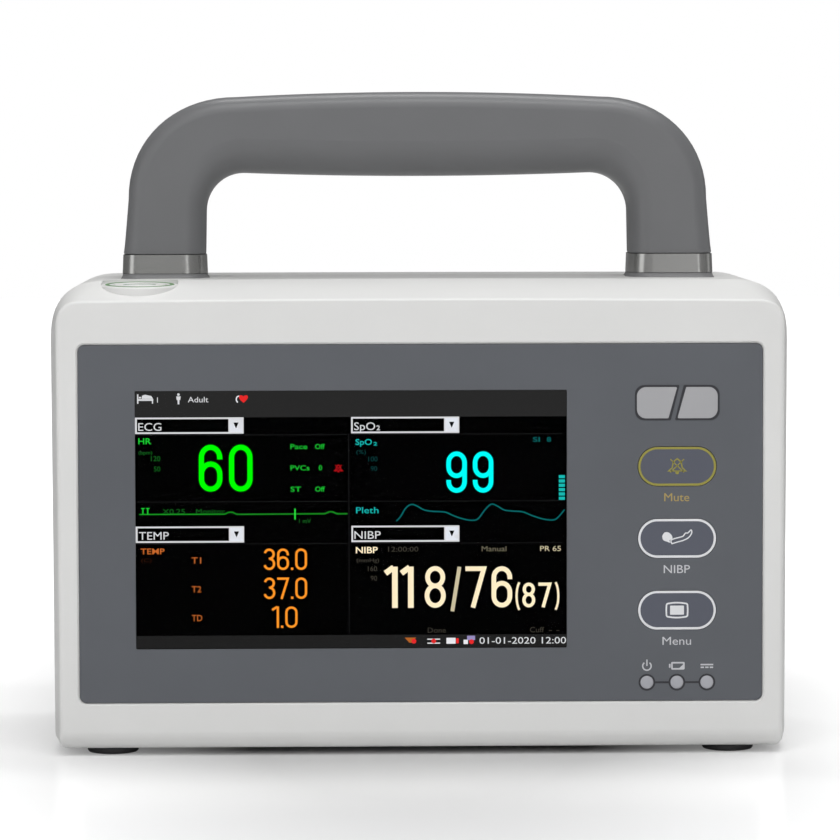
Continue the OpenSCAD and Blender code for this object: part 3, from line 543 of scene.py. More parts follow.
connector_low, connector_high = span("connector_panel")
door_low, door_high = span("battery_door")
flap_low, flap_high = span("port_flap")
plate_low, plate_high = span("rear_mount_plate")
pad_mid = middle("power_light_ring")
PAD_R = 9.8
PAD_LEAN = 0.052
CONNECTOR_FLANGE = (3, 2.5)
door_pocket = ((door_low.y - 0.3, 16.1), (door_low.z - 0.3, door_high.z + 0.3))
flap_pocket = ((flap_low.y - 0.3, flap_high.y + 0.3), (flap_low.z - 0.3, flap_high.z + 0.3))
connector_y = (connector_low.y + CONNECTOR_FLANGE[0], connector_high.y - CONNECTOR_FLANGE[0])
connector_z = (connector_low.z + CONNECTOR_FLANGE[1], connector_high.z - CONNECTOR_FLANGE[1])


def front_shell():
    """Front half of the housing, with its openings."""
    seam_bevel = 0.22
    outer = [housing_ring(y) for y in stations(front_y, seam_y - seam_bevel)]
    edge = [[(x, seam_y, z) for x, _, z in housing_ring(seam_y, seam_bevel)]]
    inner = [housing_ring(y, WALL) for y in (seam_y, 0, -20, inside_y)]
    inner[0] = [(x, seam_y, z) for x, _, z in inner[0]]
    shell = loft_mesh("front_shell", outer + edge + inner)
    lens_low, lens_high = span("alarm_lens_left")[0], span("alarm_lens_right")[1]
    led_low, led_high = span("indicator_lenses")
    lcd_low, lcd_high = span("lcd_panel")
    through = (panel_y - 0.5, inside_y + 1)
    cutters = [
        recess_mesh(panel_w + 0.2, panel_h + 0.2, PANEL_R, panel_high.y, 0.5),
        block_mesh((lcd_low.x - 0.4, lcd_high.x + 0.4), through, (lcd_low.z - 0.4, lcd_high.z + 0.4), 1),
        block_mesh((lens_low.x - 1, lens_high.x + 1), through, (lens_low.z - 1, lens_high.z + 1)),
        block_mesh((led_low.x - 1.3, led_high.x + 1.3), through, (led_low.z - 1.3, led_high.z + 1.3)),
        cylinder_mesh("z", 112, top_z + 2, pad_mid.x, pad_mid.y, PAD_R - 0.05),
        side_prism(-half_w - 2, connector_low.x + 4,
                   span_outline(connector_y, connector_z, 4, 0.2)),
        block_mesh((door_low.x - 0.2, half_w + 2), *door_pocket, 1, "x"),
    ]
    cutters += [plate_mesh("key_hole", [key_loop(k, KEY_GAP)], "y", *through) for k in KEYS]
    cutters += [cylinder_mesh("z", -1, base_z + 0.8, x, FOOT_YS[0], 6.6) for x in FOOT_XS]
    piece("front_shell", carved(shell, cutters), housing_mat,
          stands_for=["front_housing"], sharp=32)


CASE_SCREWS = [(x, z) for x in (-84, 84) for z in (12.5, 107.5)]
CASE_HEAD_Y = 26
speaker_mid = middle("speaker")


def rear_shell():
    """Rear half of the housing, with the recess for its plate, the speaker slots and the screw wells."""
    seam_bevel = 0.22
    outer = [housing_ring(y) for y in reversed(stations(seam_y + seam_bevel, rear_y))]
    edge = [[(x, seam_y, z) for x, _, z in housing_ring(seam_y, seam_bevel)]]
    inner = [housing_ring(y, WALL) for y in (seam_y, 30, rear_y - WALL - 1)]
    shell = loft_mesh("rear_shell", outer + edge + inner)
    recess = span_outline((plate_low.x, plate_high.x), (plate_low.z, plate_high.z), 4, 0.3)
    recess_floor = 39
    cutters = [
        plate_mesh("recess", [recess], "y", recess_floor, rear_y + 1),
        block_mesh((flap_low.x - 0.5, half_w + 2), *flap_pocket, 1, "x"),
    ]
    for i in range(-2, 3):
        slot_w = 22 - 2 * abs(i)
        loop = box_outline(speaker_mid.x, speaker_mid.z + 4 * i, slot_w, 1.8, 0.88)
        cutters.append(plate_mesh("slot", [loop], "y", rear_y - WALL - 4, rear_y + 1))
    cutters += [cylinder_mesh("y", rear_y - 12, rear_y + 1, x, z, 3.3) for x, z in CASE_SCREWS]
    cutters += [cylinder_mesh("z", -1, base_z + 0.8, x, FOOT_YS[1], 6.6) for x in FOOT_XS]
    piece("rear_shell", carved(shell, cutters), housing_mat,
          stands_for=["rear_cover"], sharp=32)
    wells = []
    for x, z in CASE_SCREWS:
        ring = [(3.3, CASE_HEAD_Y), (5.5, CASE_HEAD_Y), (5.5, rear_y - 3), (3.3, rear_y - 3),
                (3.3, CASE_HEAD_Y)]
        wells.append(lathe_mesh("well", [(r, -a) for r, a in ring], (x, 0, z), "y", 32))
    piece("screw_wells", joined("wells", wells), housing_mat)


def leaned(mesh):
    """Leans the top of a part of the power button's pad forward."""
    for vertex in mesh.vertices:
        if vertex.co.z > 0.115:
            vertex.co.z += (vertex.co.y - pad_mid.y * MM) * PAD_LEAN
    return mesh


def power_pad():
    """Round pad on the shoulder, the light ring in it and the flat button."""
    ring_low, ring_high = span("power_light_ring")
    pad_top = ring_high.z + 0.15
    at = (pad_mid.x, pad_mid.y, 0)
    fillet = [(PAD_R - 0.5 + 0.5 * math.sin(t), pad_top - 0.5 + 0.5 * math.cos(t))
              for t in (i * math.pi / 12 for i in range(7))]
    pad = [(6.9, 112.5), (6.9, pad_top - 0.2), (7.1, pad_top), (7.7, pad_top), (7.7, pad_top - 1),
           (8.8, pad_top - 1), (8.8, pad_top)] + fillet + [(PAD_R, 112.5), (6.9, 112.5)]
    piece("power_pad", leaned(lathe_mesh("pad", pad, at, "z", 96)), housing_mat,
          sharp=40)
    guide = [(7.75, ring_low.z), (7.75, pad_top - 0.05), (7.9, pad_top + 0.12), (8.6, pad_top + 0.12),
             (8.75, pad_top - 0.05), (8.75, ring_low.z), (7.75, ring_low.z)]
    piece("light_ring", leaned(lathe_mesh("guide", guide, at, "z", 96)), glow_mat,
          stands_for=["power_light_ring"])
    low, high = span("power_button")
    flange_z = 112.0
    rim = [(6.15 + 0.4 * math.cos(t), high.z - 0.3 + 0.4 * math.sin(t))
           for t in (i * math.pi / 12 for i in range(7))]
    button = [(0, low.z), (2.5, low.z), (2.5, flange_z), (8.2, flange_z), (8.2, flange_z + 1.4),
              (6.55, flange_z + 1.4)] + rim + [(0, high.z + 0.1)]
    piece("button_cap", lathe_mesh("button", button, at, "z", 96), white_mat, "power_button",
          ["power_button"], sharp=50)
    face = high.z + 0.1
    mark = [(3.5, face - 0.2), (3.5, face + 0.03), (4.2, face + 0.03), (4.2, face - 0.2), (3.5, face - 0.2)]
    piece("power_mark", lathe_mesh("mark", mark, at, "z", 64), mark_mat, "power_button",
          sharp=50)


# ---------------------------------------------------------------- front panel, keys and lamps

screen_low, screen_high = span("touch_glass")
key_mid = middle("nibp_key")
led_mid = middle("indicator_lenses")
LED_PITCH = 7.55
LED_R = 1.65


def front_panel():
    """Dark panel with its openings, and the lenses in it."""
    loops = [
        box_outline(panel_mid.x, panel_mid.z, panel_w, panel_h, PANEL_R),
        span_outline((screen_low.x, screen_high.x), (screen_low.z, screen_high.z), 0.3, 0.04),
        lamp_loop("alarm_lens_left", -1, 0.03),
        lamp_loop("alarm_lens_right", 1, 0.03),
    ]
    loops += [key_loop(k, KEY_GAP) for k in KEYS]
    loops += [circle(led_mid.x + i * LED_PITCH, led_mid.z, LED_R + 0.03) for i in (-1, 0, 1)]
    mesh = plate_mesh("front_panel", loops, "y", panel_y, panel_high.y, 0.09)
    piece("panel_plate", mesh, panel_mat, stands_for=["front_panel"], sharp=50)
    for node, side in (("alarm_lens_left", -1), ("alarm_lens_right", 1)):
        lens_back = span(node)[1].y
        lens = plate_mesh(node, [lamp_loop(node, side)], "y", panel_y - 0.05, lens_back, 0.3, 5)
        piece(node.replace("alarm_lens", "lamp"), lens, lamp_mat, stands_for=[node])
    domes = []
    for i in (-1, 0, 1):
        dome = [(0, -panel_high.y), (LED_R, -panel_high.y)]
        dome += [(LED_R * math.cos(t), 0.25 * math.sin(t) - panel_y - 0.05)
                 for t in (j * math.pi / 12 for j in range(7))]
        dome[-1] = (0, dome[-1][1])
        domes.append(lathe_mesh("dome", dome, (led_mid.x + i * LED_PITCH, 0, led_mid.z), "y", 40))
    piece("indicator_domes", joined("domes", domes), led_mat,
          stands_for=["indicator_lenses"], sharp=60)
    for node in KEYS:
        cap_back, stem_back = panel_y + 2.6, span(node)[1].y
        cap = plate_mesh(node, [key_loop(node)], "y", panel_y, cap_back, 0.12)
        mid = middle(node)
        stem = block_mesh((mid.x - 7, mid.x + 7), (cap_back, stem_back), (mid.z - 2.5, mid.z + 2.5), 1)
        piece(node.replace("_key", "_cap"), joined(node, [cap, stem]), key_mat, node, [node],
              sharp=50)


# ---------------------------------------------------------------- print and display drawing


class Ink:
    """Flat marks of one colour on a plane that faces -Y, gathered into one piece.

    Places are (u, v): millimetres to the right of and above the origin.
    """

    THICK = 0.03

    def __init__(self, name, mat, origin, y, body=MAIN, slot=None):
        self.name, self.mat, self.origin, self.y = name, mat, origin, y
        self.body, self.slot = body, slot
        self.meshes = []

    def fill(self, *loops):
        """Filled outline; further loops are holes."""
        ox, oz = self.origin
        moved = [[(ox + u, oz + v) for u, v in loop] for loop in loops]
        self.meshes.append(plate_mesh("fill", moved, "y", self.y - self.THICK, self.y))

    def box(self, u0, v0, u1, v1, r=0.01):
        """Filled rectangle between two corners."""
        self.fill(box_outline((u0 + u1) / 2, (v0 + v1) / 2, abs(u1 - u0), abs(v1 - v0), r, 3))

    def line(self, points, width, closed=False):
        """Line of a constant width through points."""
        pts = [Vector(p) for p in points]
        n = len(pts)
        left, right = [], []
        for i, p in enumerate(pts):
            before = pts[i - 1] if closed or i > 0 else None
            after = pts[(i + 1) % n] if closed or i < n - 1 else None
            d0 = (p - before).normalized() if before is not None else None
            d1 = (after - p).normalized() if after is not None else d0
            d0 = d0 if d0 is not None else d1
            bisector = (d0 + d1).normalized()
            side = Vector((-bisector.y, bisector.x))
            reach = width / 2 / max(0.45, side.dot(Vector((-d1.y, d1.x))))
            left.append(p + side * reach)
            right.append(p - side * reach)
        ox, oz = self.origin
        ys = (self.y - self.THICK, self.y)
        rings = []
        for a, b in zip(left, right):
            corners = ((a, ys[0]), (b, ys[0]), (b, ys[1]), (a, ys[1]))
            rings.append([(ox + q.x, y, oz + q.y) for q, y in corners])
        if closed:
            rings.append(rings[0])
        self.meshes.append(loft_mesh("line", rings, caps=not closed))

    def text(self, words, u, v, height, width=None, align="LEFT", bold=0.0):
        """Generic words whose capitals have a height; width stretches them to fit."""
        curve = bpy.data.curves.new("words", "FONT")
        curve.body = words
        curve.size = 1
        curve.offset = bold
        curve.resolution_u = 3
        obj = new_object("words", curve)
        bpy.context.view_layer.update()
        mesh = bpy.data.meshes.new_from_object(obj)
        bpy.data.objects.remove(obj)
        bpy.data.curves.remove(curve)
        xs = [p.co.x for p in mesh.vertices]
        low_x, wide = min(xs), max(xs) - min(xs)
        cap_height = 0.73
        tall = height / cap_height
        stretch = tall if width is None else width / wide
        shift = {"LEFT": 0, "CENTER": wide / 2, "RIGHT": wide}[align]
        bm = bmesh.new()
        bm.from_mesh(mesh)
        flat = bm.faces[:]
        made = bmesh.ops.extrude_face_region(bm, geom=flat)
        for p in made["geom"]:
            if isinstance(p, bmesh.types.BMVert):
                p.co.z = 1
        ox, oz = self.origin
        for p in bm.verts:
            y = self.y - self.THICK * p.co.z
            p.co = Vector((ox + u + (p.co.x - low_x - shift) * stretch, y, oz + v + p.co.y * tall)) * MM
        bm.to_mesh(mesh)
        bm.free()
        self.meshes.append(tidy_mesh(mesh))

    def done(self):
        """Makes the piece."""
        return piece(self.name, joined(self.name, self.meshes), self.mat, self.body, sharp=60,
                     weighted=False)


def arc_points(cx, cy, rx, ry, start, end, steps=14):
    """Points along an elliptical arc, in degrees."""
    angles = [math.radians(start + (end - start) * i / steps) for i in range(steps + 1)]
    return [(cx + rx * math.cos(t), cy + ry * math.sin(t)) for t in angles]


def digit_paths(char, w, h, s):
    """Centre lines of a narrow round-cornered digit in a box of w by h, drawn with stroke s."""
    a, cx, low, high = (w - s) / 2, w / 2, s / 2, h - s / 2
    ry = min(a * 1.12, (high - low) / 4)
    if char == "0":
        loop = arc_points(cx, high - ry, a, ry, 180, 0) + arc_points(cx, low + ry, a, ry, 0, -180)
        return [(loop, True)]
    if char in "69":
        top = low + 0.6 * (high - low)
        loop = arc_points(cx, top - ry, a, ry, 180, 0) + arc_points(cx, low + ry, a, ry, 0, -180)
        hook = [(cx + a, high - ry - 0.04 * h)] + arc_points(cx, high - ry, a, ry, 0, 180)
        hook += [(cx - a, top - ry)]
        paths = [(loop, True), (hook, False)]
        if char == "9":
            paths = [([(w - x, h - y) for x, y in p], c) for p, c in paths]
        return paths
    waist = low + 0.53 * (high - low)
    upper_r, lower_r = (high - waist) / 2, (waist - low) / 2
    upper_bowl, lower_bowl = (cx, waist + upper_r, a * 0.93, upper_r), (cx, low + lower_r, a, lower_r)
    if char == "8":
        return [(arc_points(*bowl, 90, -270, 36)[:-1], True) for bowl in (upper_bowl, lower_bowl)]
    if char == "3":
        return [(arc_points(*upper_bowl, 165, -80, 24) + arc_points(*lower_bowl, 80, -165, 24), False)]
    if char == "7":
        return [([(0, high), (w - s / 2, high), (w * 0.36, 0)], False)]
    if char == "1":
        flag = [(0.02 * w, h * 0.84), (w - s * 0.7, h * 0.985)]
        return [([(w - s / 2, 0), (w - s / 2, h)], False), (flag, False)]
    if char == "5":
        mid = low + 0.6 * (high - low)
        hook = [(cx + a, high), (cx - a, high), (cx - a, mid)]
        bowl = arc_points(cx, mid - 1.3 * ry, a, 1.3 * ry, 110, -160, 24)
        return [(hook, False), (bowl, False)]
    if char == "(":
        return [(arc_points(w * 1.1, h / 2, w, h * 0.56, 122, 238), False)]
    if char == ")":
        return [(arc_points(-w * 0.1, h / 2, w, h * 0.56, 58, -58), False)]
    return []


def draw_number(ink, chars, u, v, w, h, s, gap):
    """Draws digits from left to right and returns where they end. A point is a small square."""
    for char in chars:
        if char == ".":
            ink.box(u, v, u + s * 1.05, v + s * 1.05)
            u += s * 1.05 + gap
            continue
        wide = w * {"1": 0.57, "(": 0.42, ")": 0.42}.get(char, 1.0)
        for path, closed in digit_paths(char, wide, h, s):
            ink.line([(u + x, v + y) for x, y in path], s, closed)
        u += wide + gap
    return u


def smooth_curve(points, steps=10):
    """Catmull-Rom curve through points."""
    pts = [Vector(p) for p in [points[0]] + list(points) + [points[-1]]]
    out = []
    for i in range(1, len(pts) - 2):
        p0, p1, p2, p3 = pts[i - 1 : i + 3]
        for j in range(steps):
            t = j / steps
            out.append(tuple(0.5 * (2 * p1 + (p2 - p0) * t + (2 * p0 - 5 * p1 + 4 * p2 - p3) * t * t
                                    + (3 * p1 - p0 - 3 * p2 + p3) * t ** 3)))
    return out + [tuple(points[-1])]


DISPLAY_Y = span("lcd_panel")[0].y - 0.02
SCREEN_ORIGIN = (screen_low.x, screen_high.z)
screen_w, screen_h = screen_high.x - screen_low.x, screen_high.z - screen_low.z


def display_ink(name, colour, strength=1.0, lift=0.0):
    """Ink for the display; lift puts it in front of other marks. v runs down from 0 at the top edge."""
    return Ink("display_" + name, glowing("display_" + name, colour, strength), SCREEN_ORIGIN,
               DISPLAY_Y - lift, slot="lcd")


def down(v):
    """A height on the display from its distance below the top edge."""
    return -v


def display_words(name, colour, words):
    """Makes one piece of words, each given as (word, u, distance below the top edge, height, width)."""
    ink = display_ink(name, colour, lift=0.04)
    for word, u, v, *size in words:
        ink.text(word, u, down(v), *size)
    ink.done()


COLUMNS = (0.0, 54.0)
ROWS = (6.7, 34.05)
MENU_W, MENU_H, MENU_BUTTON = 27.1, 4.1, 3.8
MENU_WORDS = {(0, 0): ("ECG", 5.8), (1, 0): ("SpO", 5.3), (0, 1): ("TEMP", 7.5), (1, 1): ("NIBP", 6.6)}


def display_frames():
    """Bars at the top and bottom, and the four drop-down boxes."""
    bars = display_ink("bars", srgb(41, 41, 41))
    bars.box(0, 0, screen_w, down(6.7))
    low_bar = display_ink("low_bar", srgb(33, 33, 33))
    low_bar.box(0, down(61.6), screen_w, -screen_h)
    rules = display_ink("rules", srgb(26, 26, 27))
    for c in COLUMNS:
        for v in (11.1, 27.9, 38.5):
            rules.line([(c, down(v)), (c + 53, down(v))], 0.16)
    rules.line([(53.4, down(11)), (53.4, down(61.4))], 0.2)
    white = display_ink("white", srgb(214, 215, 218), lift=0.04)
    button = display_ink("buttons", srgb(226, 230, 238), lift=0.04)
    mark = display_ink("button_marks", srgb(8, 8, 10), lift=0.09)
    for (c, r), (word, word_w) in MENU_WORDS.items():
        u, v = COLUMNS[c], ROWS[r]
        t = 0.42
        outer = box_outline(u + MENU_W / 2, down(v + MENU_H / 2), MENU_W, MENU_H, 0.02, 2)
        inner = box_outline(u + MENU_W / 2 - MENU_BUTTON / 2 + t / 2, down(v + MENU_H / 2),
                            MENU_W - MENU_BUTTON - t, MENU_H - 2 * t, 0.02, 2)
        white.fill(outer, inner)
        button.box(u + MENU_W - MENU_BUTTON + 0.3, down(v + 0.35), u + MENU_W - 0.35, down(v + MENU_H - 0.35))
        bx, bz = u + MENU_W - MENU_BUTTON / 2, down(v + MENU_H / 2)
        mark.fill([(bx - 0.65, bz + 0.75), (bx, bz - 0.75), (bx + 0.65, bz + 0.75)])
        white.text(word, u + 0.75, down(v + 3.3), 2.05, word_w)
        if word == "SpO":
            white.text("2", u + 6.35, down(v + 3.35), 1.25, 0.9, bold=0.01)
    white.text("01-01-2020 12:00", 107.9, down(63.95), 1.75, 21.8, "RIGHT")
    white.text("1", 5.5, down(2.95), 1.4)
    white.text("Adult", 13.2, down(2.9), 1.45, 5.1)
    top_icons(white)
    for ink in (bars, low_bar, rules, white, button, mark):
        ink.done()


def top_icons(white):
    """Bed and patient figures in the top bar."""
    white.box(0.5, down(0.85), 0.85, down(3.2))
    white.box(0.85, down(2.05), 4.55, down(2.5))
    white.box(4.2, down(2.5), 4.5, down(3.2))
    white.box(0.95, down(1.5), 1.55, down(1.9), 0.15)
    white.fill([(1.65, down(2.0)), (1.75, down(1.2)), (2.5, down(0.95)), (4.1, down(1.3)), (4.5, down(2.0))])
    white.fill(circle(10.85, down(0.95), 0.33, 16))
    white.fill([(10.3, down(1.4)), (11.4, down(1.4)), (11.3, down(2.3)), (11.1, down(2.3)),
                (11.05, down(3.4)),
                (10.65, down(3.4)), (10.6, down(2.3)), (10.4, down(2.3))])


def heart_loop(cx, cv, size):
    """Outline of a heart about a point."""
    angles = [2 * math.pi * i / 28 for i in range(28)]
    return [(cx + size * 0.0625 * 16 * math.sin(t) ** 3 / 2,
             cv + size * 0.0625 * (13 * math.cos(t) - 5 * math.cos(2 * t) - 2 * math.cos(3 * t)) / 2)
            for t in angles]


def display_red():
    """Small red symbols."""
    red = display_ink("red", srgb(226, 42, 42), lift=0.07)
    red.fill(heart_loop(27.1, down(1.95), 2.3))
    red.fill(circle(69.6, down(63.2), 0.62, 20))
    red.fill(circle(74.6, down(63.2), 0.6, 20))
    red.fill(circle(84.1, down(63.4), 0.6, 20))
    red.box(80.2, down(62.5), 80.9, down(63.8), 0.2)
    red.done()
    dark_red = display_ink("dark_red", srgb(170, 16, 22), lift=0.07)
    bell(dark_red, 50.8, down(19.6), 1.1, 0.22)
    dark_red.done()
    white = display_ink("symbols", srgb(232, 232, 236), lift=0.04)
    white.box(77.8, down(62.4), 80.1, down(63.9), 0.1)
    for v in (62.6, 63.6):
        white.box(73.0, down(v), 76.2, down(v + 0.25))
    white.box(82.1, down(62.9), 83.2, down(64.0), 0.1)
    white.line(arc_points(25.9, down(2.2), 0.6, 0.8, 60, 250), 0.3)
    white.done()
    amber = display_ink("amber", srgb(176, 98, 40), lift=0.04)
    amber.fill([(67.3, down(62.3)), (70.2, down(62.3)), (69.0, down(63.6)), (68.5, down(63.6))])
    amber.done()
    lilac = display_ink("lilac", srgb(150, 140, 190), lift=0.04)
    lilac.box(83.0, down(61.9), 85.0, down(63.0), 0.1)
    lilac.done()


def bell(ink, u, v, size, width):
    """Outline of a bell crossed out."""
    body = [(-0.95, -0.55), (-0.55, -0.2), (-0.42, 0.45), (0, 0.8), (0.42, 0.45), (0.55, -0.2), (0.95, -0.55)]
    ink.line([(u + x * size, v + y * size) for x, y in body], width, closed=True)
    ink.line([(u - 0.75 * size, v + 0.75 * size), (u + 0.75 * size, v - 0.7 * size)], width * 0.8)
    ink.line([(u + 0.75 * size, v + 0.75 * size), (u - 0.75 * size, v - 0.7 * size)], width * 0.8)
    ink.fill(circle(u, v - 0.72 * size, 0.2 * size, 16))


def display_green():
    """Heart rate, its settings and its trace."""
    green = display_ink("green", (0.0, 1.0, 0.0), lift=0.04)
    draw_number(green, "60", 15.85, down(25.35), 5.9, 11.8, 1.3, 1.65)
    green.done()
    soft = display_ink("green_words", srgb(28, 204, 52), lift=0.04)
    soft.text("HR", 0.75, down(13.35), 1.55, 3.2, bold=0.01)
    for row, (word, value) in enumerate((("Pace", "Off"), ("PVCs", "0"), ("ST", "Off"))):
        v = down(14.7 + 5.35 * row)
        soft.text(word, 38.8, v, 1.3, {"Pace": 4.2, "PVCs": 4.7, "ST": 2.6}[word])
        soft.text(value, 45.0 if value == "Off" else 45.9, v, 1.3)
    for u in (1.65, 2.85):
        soft.box(u, down(29.4), u + 0.3, down(31.0))
        soft.box(u - 0.3, down(29.4), u + 0.6, down(29.6))
        soft.box(u - 0.3, down(30.85), u + 0.6, down(31.05))
    soft.done()
    trace = display_ink("green_trace", srgb(24, 150, 34), lift=0.04)
    base = 31.0

    def bump(u):
        return [(u - 1.6, base), (u - 0.6, base - 0.5), (u + 0.3, base - 0.5), (u + 1.4, base + 0.05)]

    trace.line([(u, down(v)) for u, v in [(0.9, base)] + bump(23.9) + bump(49) + [(53, base)]], 0.26)
    trace.done()
    mark = display_ink("green_mark", srgb(40, 225, 60), lift=0.08)
    mark.box(39.7, down(29.7), 40.05, down(32.4))
    mark.done()
    display_words("green_dim", srgb(20, 94, 30), [
        ("X0.25", 6.7, 30.9, 1.3, 5.6), ("Monitor", 15.1, 30.9, 1.3, 7.2), ("1 mV", 40.9, 33.3, 1.1),
        ("(bpm)", 0.8, 15.9, 0.9, 3.4), ("120", 3.9, 17.6, 1.3, 2.3), ("50", 4.6, 20.2, 1.3, 1.6),
    ])


def display_cyan():
    """Oxygen saturation, its bar and its wave."""
    cyan = display_ink("cyan", (0.0, 1.0, 0.92), lift=0.04)
    draw_number(cyan, "99", 77.85, down(25.85), 5.15, 10.4, 1.15, 1.5)
    cyan.done()
    soft = display_ink("cyan_words", srgb(24, 184, 176), lift=0.04)
    soft.text("SpO", 55.1, down(13.7), 1.5, 4.1, bold=0.01)
    soft.text("2", 59.6, down(13.9), 0.9, 0.9, bold=0.01)
    for i in range(6):
        v = 21.5 + 1.09 * i
        soft.box(106.1, down(v), 107.6, down(v + 0.78))
    soft.text("Pleth", 55.2, down(30.9), 1.6, 5.6)
    soft.done()
    dim = display_ink("cyan_dim", srgb(10, 104, 104), lift=0.04)
    dim.text("SI", 99.6, down(13.1), 1.25, 1.7)
    dim.text("8", 103.1, down(13.1), 1.25, 1.0)
    wave = [(65.3, 32.9), (66.4, 31.7), (67.6, 29.7), (69.0, 28.75), (70.4, 29.1), (72.2, 30.1),
            (74.4, 30.5), (77.5, 30.7), (79.6, 31.6), (82.3, 32.5), (84.5, 32.8), (85.9, 32.3),
            (87.5, 30.2), (89.1, 28.75), (90.6, 29.2), (92.3, 30.2), (94.4, 30.5), (97.0, 30.7),
            (99.2, 31.6), (102.0, 32.5), (104.3, 32.8), (105.7, 32.3), (107.5, 30.2)]
    dim.line([(u, down(v)) for u, v in smooth_curve(wave, 5)], 0.3)
    dim.done()
    display_words("cyan_faint", srgb(12, 56, 56), [
        ("(%)", 55.3, 16.0, 1.1, 2.4), ("100", 58.3, 17.9, 1.3, 2.3), ("90", 58.9, 20.3, 1.3, 1.6),
    ])


def display_orange():
    """Temperatures."""
    orange = display_ink("orange", srgb(255, 150, 40), lift=0.04)
    for row, (number, u) in enumerate((("36.0", 31.9), ("37.0", 31.9), ("1.0", 34.0))):
        draw_number(orange, number, u, down(45.1 + 7.3 * row), 2.95 + 0.12 * (row == 2), 5.4, 0.56, 0.5)
    orange.done()
    soft = display_ink("orange_words", srgb(196, 104, 44), lift=0.04)
    soft.text("TEMP", 1.15, down(41.0), 1.5, 6.0, bold=0.01)
    for row, word in enumerate(("T1", "T2", "TD")):
        soft.text(word, 13.9, down(43.4 + 7.25 * row), 1.65, 2.4 + 0.2 * (row == 2))
    soft.done()
    display_words("orange_faint", srgb(52, 26, 12), [("(C)", 1.3, 43.0, 1.0, 2.6)])


def display_cream():
    """Blood pressure."""
    cream = display_ink("cream", srgb(255, 238, 200), lift=0.04)
    base = down(54.8)
    for u in (62.45, 66.45):
        draw_number(cream, "1", u, base, 5.5, 10.4, 1.42, 0)
    draw_number(cream, "8", 72.35, base, 5.3, 10.5, 1.17, 0)
    draw_number(cream, "76", 82.6, base, 5.2, 10.4, 1.17, 1.35)
    draw_number(cream, "87", 96.9, base, 3.25, 6.25, 0.82, 0.8)
    draw_number(cream, "(", 95.3, down(55.6), 3.6, 7.3, 0.55, 0)
    draw_number(cream, ")", 104.6, down(55.6), 3.6, 7.3, 0.55, 0)
    cream.text("NIBP", 55.1, down(40.95), 1.65, 5.5, bold=0.015)
    cream.done()
    soft = display_ink("cream_soft", srgb(205, 194, 160), lift=0.04)
    soft.line([(79.3, down(55.7)), (81.1, down(44.5))], 0.95)
    soft.text("PR 65", 101.4, down(40.6), 1.35, 5.2)
    soft.done()
    display_words("cream_dim", srgb(112, 106, 88), [("Manual", 86.7, 40.6, 1.35, 6.2)])
    display_words("cream_faint", srgb(60, 57, 50), [
        ("12:00:00", 63.2, 40.6, 1.3, 7.6), ("(mmHg)", 55.3, 43.2, 1.0, 5.6), ("160", 58.1, 45.5, 1.3, 2.3),
        ("90", 58.8, 47.9, 1.3, 1.6), ("Done", 73.1, 61.1, 1.4, 4.6), ("Cuff", 98.8, 61.1, 1.4, 3.6),
        ("- -", 103.6, 61.1, 1.4, 2.6),
    ])


def moved(loop, origin):
    """A loop in millimetres of the frame, as places about an ink's origin."""
    return [(x - origin[0], z - origin[1]) for x, z in loop]


def panel_print():
    """Outlines, symbols and words printed on the panel and on the keys."""
    origin = (key_mid.x, key_mid.z)
    dark = Ink("dark_print", outline_mat, origin, panel_y - 0.002)
    edge = Ink("lamp_outlines", outline_mat, origin, panel_y - 0.052)
    for node, side in (("alarm_lens_left", -1), ("alarm_lens_right", 1)):
        edge.fill(moved(lamp_loop(node, side, 0.05), origin), moved(lamp_loop(node, side, -0.42), origin))
    edge.done()
    led_v = led_mid.z - origin[1]
    for i in (-1, 0, 1):
        u = led_mid.x + i * LED_PITCH - origin[0]
        dark.fill(circle(u, led_v, 2.12), circle(u, led_v, LED_R + 0.02))
        if i < 1:
            dark.box(u + 2.1, led_v - 0.25, u + LED_PITCH - 2.1, led_v + 0.25)
    dark.done()
    light = Ink("light_print", print_mat, origin, panel_y - 0.002)
    words = {"nibp_key": ("NIBP", 6.6, 2.15), "menu_key": ("Menu", 7.2, 2.15)}
    for node, (word, wide, tall) in words.items():
        at = middle(node)
        light.text(word, at.x - origin[0] - 0.05, at.z - origin[1] - 8.75, tall, wide, "CENTER")
    indicator_icons(light, led_mid.x - origin[0], led_v + 4.55)
    light.done()
    olive = Ink("mute_word", word_print_mat, origin, panel_y - 0.002)
    at = middle("mute_key")
    olive.text("Mute", at.x - origin[0] - 0.1, at.z - origin[1] - 8.75, 2.15, 6.3, "CENTER")
    olive.done()
    for node in KEYS:
        mid = middle(node)
        mat = mute_print_mat if node == "mute_key" else outline_print_mat
        ink = Ink(node.replace("_key", "_mark"), mat, (mid.x, mid.z), panel_y - 0.002, node, "key_film")
        ink.fill(moved(key_loop(node, -0.02), (mid.x, mid.z)), moved(key_loop(node, -0.6), (mid.x, mid.z)))
        {"mute_key": mute_symbol, "nibp_key": cuff_symbol, "menu_key": menu_symbol}[node](ink)
        ink.done()


